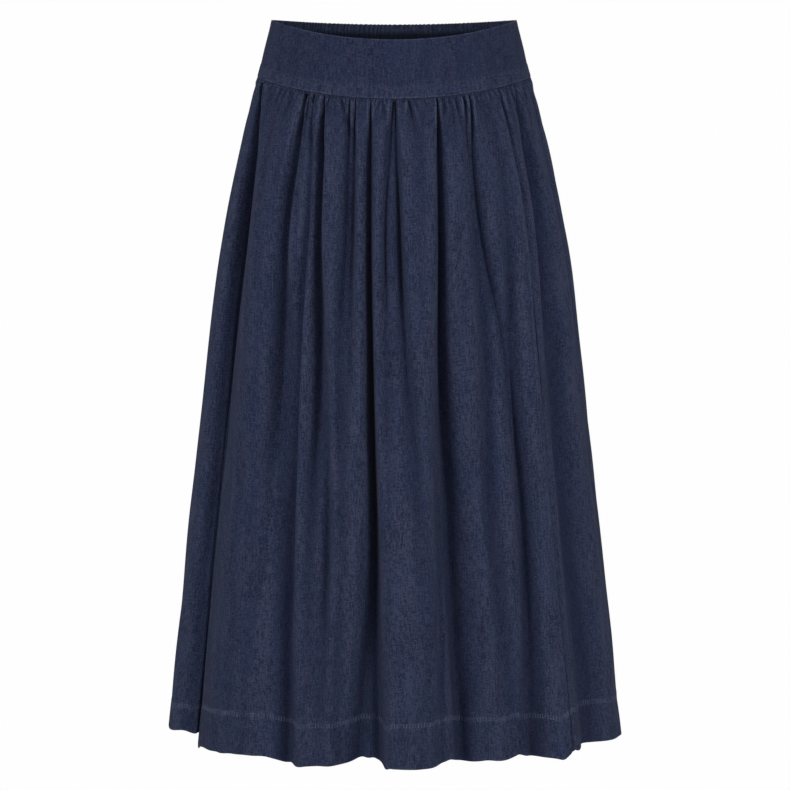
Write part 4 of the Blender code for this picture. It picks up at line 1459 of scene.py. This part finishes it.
@dataclass
class Studio:
    """White sweep, soft light and the camera."""

    floor_z: float = -1.05
    reach: float = 6.0
    curve: float = 0.9
    wall: float = 3.6
    sky: float = 0.13
    white: float = 0.99
    boxes: tuple[Softbox, ...] = (
        Softbox("key_softbox", (-2.2, -2.0, 0.9), 1.1, 50.0),
        Softbox("fill_softbox", (2.3, -1.9, 0.7), 1.1, 40.0),
        Softbox("top_softbox", (-0.2, -1.9, 2.2), 1.0, 12.0),
        Softbox("rim_softbox", (1.9, 0.1, 1.4), 0.8, 5.0),
    )
    eye: Colour = (0.001, -2.9, 0.025)
    target: Colour = (0.001, 0.0, -0.388)
    millimetres_per_pixel: float = 1.07
    pixels: int = 790
    sensor: float = 36.0

    def sweep(self) -> bpy.types.Object:
        """Floor that curves up into a round wall."""
        turns = 96
        profile = [(0.0, self.floor_z), (self.reach * 0.5, self.floor_z)]
        for k in range(13):
            a = math.pi / 2 * k / 12
            profile.append((
                self.reach - self.curve + self.curve * math.sin(a),
                self.floor_z + self.curve * (1 - math.cos(a)),
            ))
        profile.append((self.reach, self.floor_z + self.wall))
        points = [(0.0, 0.0, self.floor_z)]
        for radius, z in profile[1:]:
            for k in range(turns):
                a = 2 * math.pi * k / turns
                points.append((radius * math.cos(a), radius * math.sin(a), z))
        faces = [(0, 1 + k, 1 + (k + 1) % turns) for k in range(turns)]
        for i in range(len(profile) - 2):
            for k in range(turns):
                a = 1 + i * turns + k
                b = 1 + i * turns + (k + 1) % turns
                faces.append((a, a + turns, b + turns, b))
        mesh = bpy.data.meshes.new("studio_sweep")
        mesh.from_pydata(points, [], faces)
        mesh.polygons.foreach_set("use_smooth", [True] * len(faces))
        mesh.update()
        sweep = linked("studio_sweep", mesh)
        made, wires, shader = new_material("studio_white")
        shader.inputs["Base Color"].default_value = (0.8, 0.8, 0.8, 1.0)
        shader.inputs["Roughness"].default_value = 0.9
        glow = wires.add("ShaderNodeEmission", Strength=self.white)
        seen = wires.add("ShaderNodeLightPath").outputs["Is Camera Ray"]
        both = wires.add("ShaderNodeMixShader", i0=seen, i1=shader.outputs[0], i2=glow.outputs[0])
        wires.feed(made.node_tree.nodes["Material Output"].inputs["Surface"], both.outputs[0])
        mesh.materials.append(made)
        return sweep

    def build(self) -> None:
        """Sets up the sweep, the world, the lights and the camera."""
        scene = bpy.context.scene
        self.sweep()
        world = bpy.data.worlds.new("studio_light")
        world.use_nodes = True
        ground = world.node_tree.nodes["Background"]
        ground.inputs["Color"].default_value = (1.0, 1.0, 1.0, 1.0)
        ground.inputs["Strength"].default_value = self.sky
        scene.world = world
        aim = Vector(self.target)
        for box in self.boxes:
            box.hang(aim)
        lens = bpy.data.cameras.new("camera")
        camera = linked("camera", lens)
        eye = Vector(self.eye)
        camera.location = eye
        camera.rotation_euler = (aim - eye).to_track_quat("-Z", "Y").to_euler()
        lens.sensor_width = self.sensor
        focus = (aim - eye).length / (self.millimetres_per_pixel * MM)
        lens.lens = focus * self.sensor / self.pixels
        scene.camera = camera
        scene.view_settings.view_transform = "Standard"
        scene.view_settings.look = "None"


# ---- the whole skirt ------------------------------------------------------------------
def stitch(pitch: float, length: float, across: float, thread: float, seed: int) -> dict:
    """Sizes of one kind of stitch, metres, by the stitch tree's names."""
    return {"Pitch": pitch, "Length": length, "Across": across, "Thread": thread, "Seed": seed}


HEM_STITCH = stitch(0.0031, 0.0007, 0.0040, 0.0003, 3)
RAIL_STITCH = stitch(0.0031, 0.0025, 0.0005, 0.0003, 5)
EDGE_STITCH = stitch(0.0024, 0.0011, 0.0008, 0.0004, 7)
SEAM_STITCH = stitch(0.0026, 0.0014, 0.0009, 0.0004, 11)
HEM_ROWS = (("", 0.0, HEM_STITCH), ("_upper", 1.9, RAIL_STITCH), ("_lower", -1.9, RAIL_STITCH))


@dataclass
class Skirt:
    """The four cut pieces and their rows of stitches."""

    form: SkirtForm
    weave: Weave = field(default_factory=Weave)
    stitches: StitchTree = field(default_factory=StitchTree)
    join: tuple[float, float] = (-94.0, 94.0)

    def finishes(self) -> None:
        """Makes the denim and thread materials."""
        self.face = Denim("indigo_denim").material(self.weave)
        # The wrong side darkens towards near black by the inside mask: painted shade inside the
        # bands and the skirt.
        self.back = Denim(
            "denim_wrong_side", dark=(0.012, 0.016, 0.038), pale=(0.040, 0.048, 0.086),
            deep=(0.003, 0.004, 0.010), painted_shade_mask="inside", painted_shade_strength=0.9,
        ).material(self.weave)
        self.pale = Thread(
            "pale_blue_thread", (0.092, 0.103, 0.168), (0.026, 0.032, 0.074)
        ).material()

    def make(self, part: Panel | Waistband) -> bpy.types.Object:
        """Builds a piece, which rides on the body and stands for its hidden imported node."""
        piece = part.build((self.face, self.back))
        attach(piece, BODY)
        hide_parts(part.node)
        LOG.info("%s: %d faces", piece.name, len(piece.data.polygons))
        return piece

    def sew(
        self, part: SewnPiece, name: str, path: tuple[Array, Array], sizes: dict
    ) -> bpy.types.Object:
        """Sews one row on a piece; it rides on the body."""
        row = self.stitches.sew(f"{part.name}_{name}", *path, sizes, self.pale)
        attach(row, BODY)
        LOG.info("%s: %d faces", row.name, len(row.data.polygons))
        return row

    def build(self) -> None:
        """Builds every piece."""
        self.finishes()
        first, last = self.join
        for band in (
            Waistband(self.form, "front_waistband", "waistband_front", first, last),
            Waistband(
                self.form, "back_waistband", "waistband_back", last, first + 360.0,
                count=760, ruche=0.55, cut_per_degree=2.60,
            ),
        ):
            piece = self.make(band)
            edge = self.sew(band, "edge_stitches", band.row_path(band.edge_row), EDGE_STITCH)
            seam = self.sew(band, "seam_stitches", band.row_path(-band.seam_row), SEAM_STITCH)
        for panel in (
            Panel(
                self.form, "front_panel", "skirt_front", LEFT_SEAM[0], RIGHT_SEAM[0],
                crest_last=3.0, corner=1.5,
            ),
            Panel(
                self.form, "back_panel", "skirt_back", RIGHT_SEAM[0], LEFT_SEAM[0] + 360.0,
                cut_top=0.85, cut_hem=0.95, crest_first=3.0, tuck=17.0, drift=Drift(23),
            ),
        ):
            piece = self.make(panel)
            sewing = [
                self.sew(panel, f"hem_stitches{row}", panel.hem_path(offset), sizes)
                for row, offset, sizes in HEM_ROWS
            ]


def main() -> None:
    """Builds the skirt and its studio."""
    logging.basicConfig(level=logging.INFO, format="%(name)s %(message)s")
    Skirt(SkirtForm.from_frame()).build()
    Studio().build()


if __name__ == "__main__":
    main()
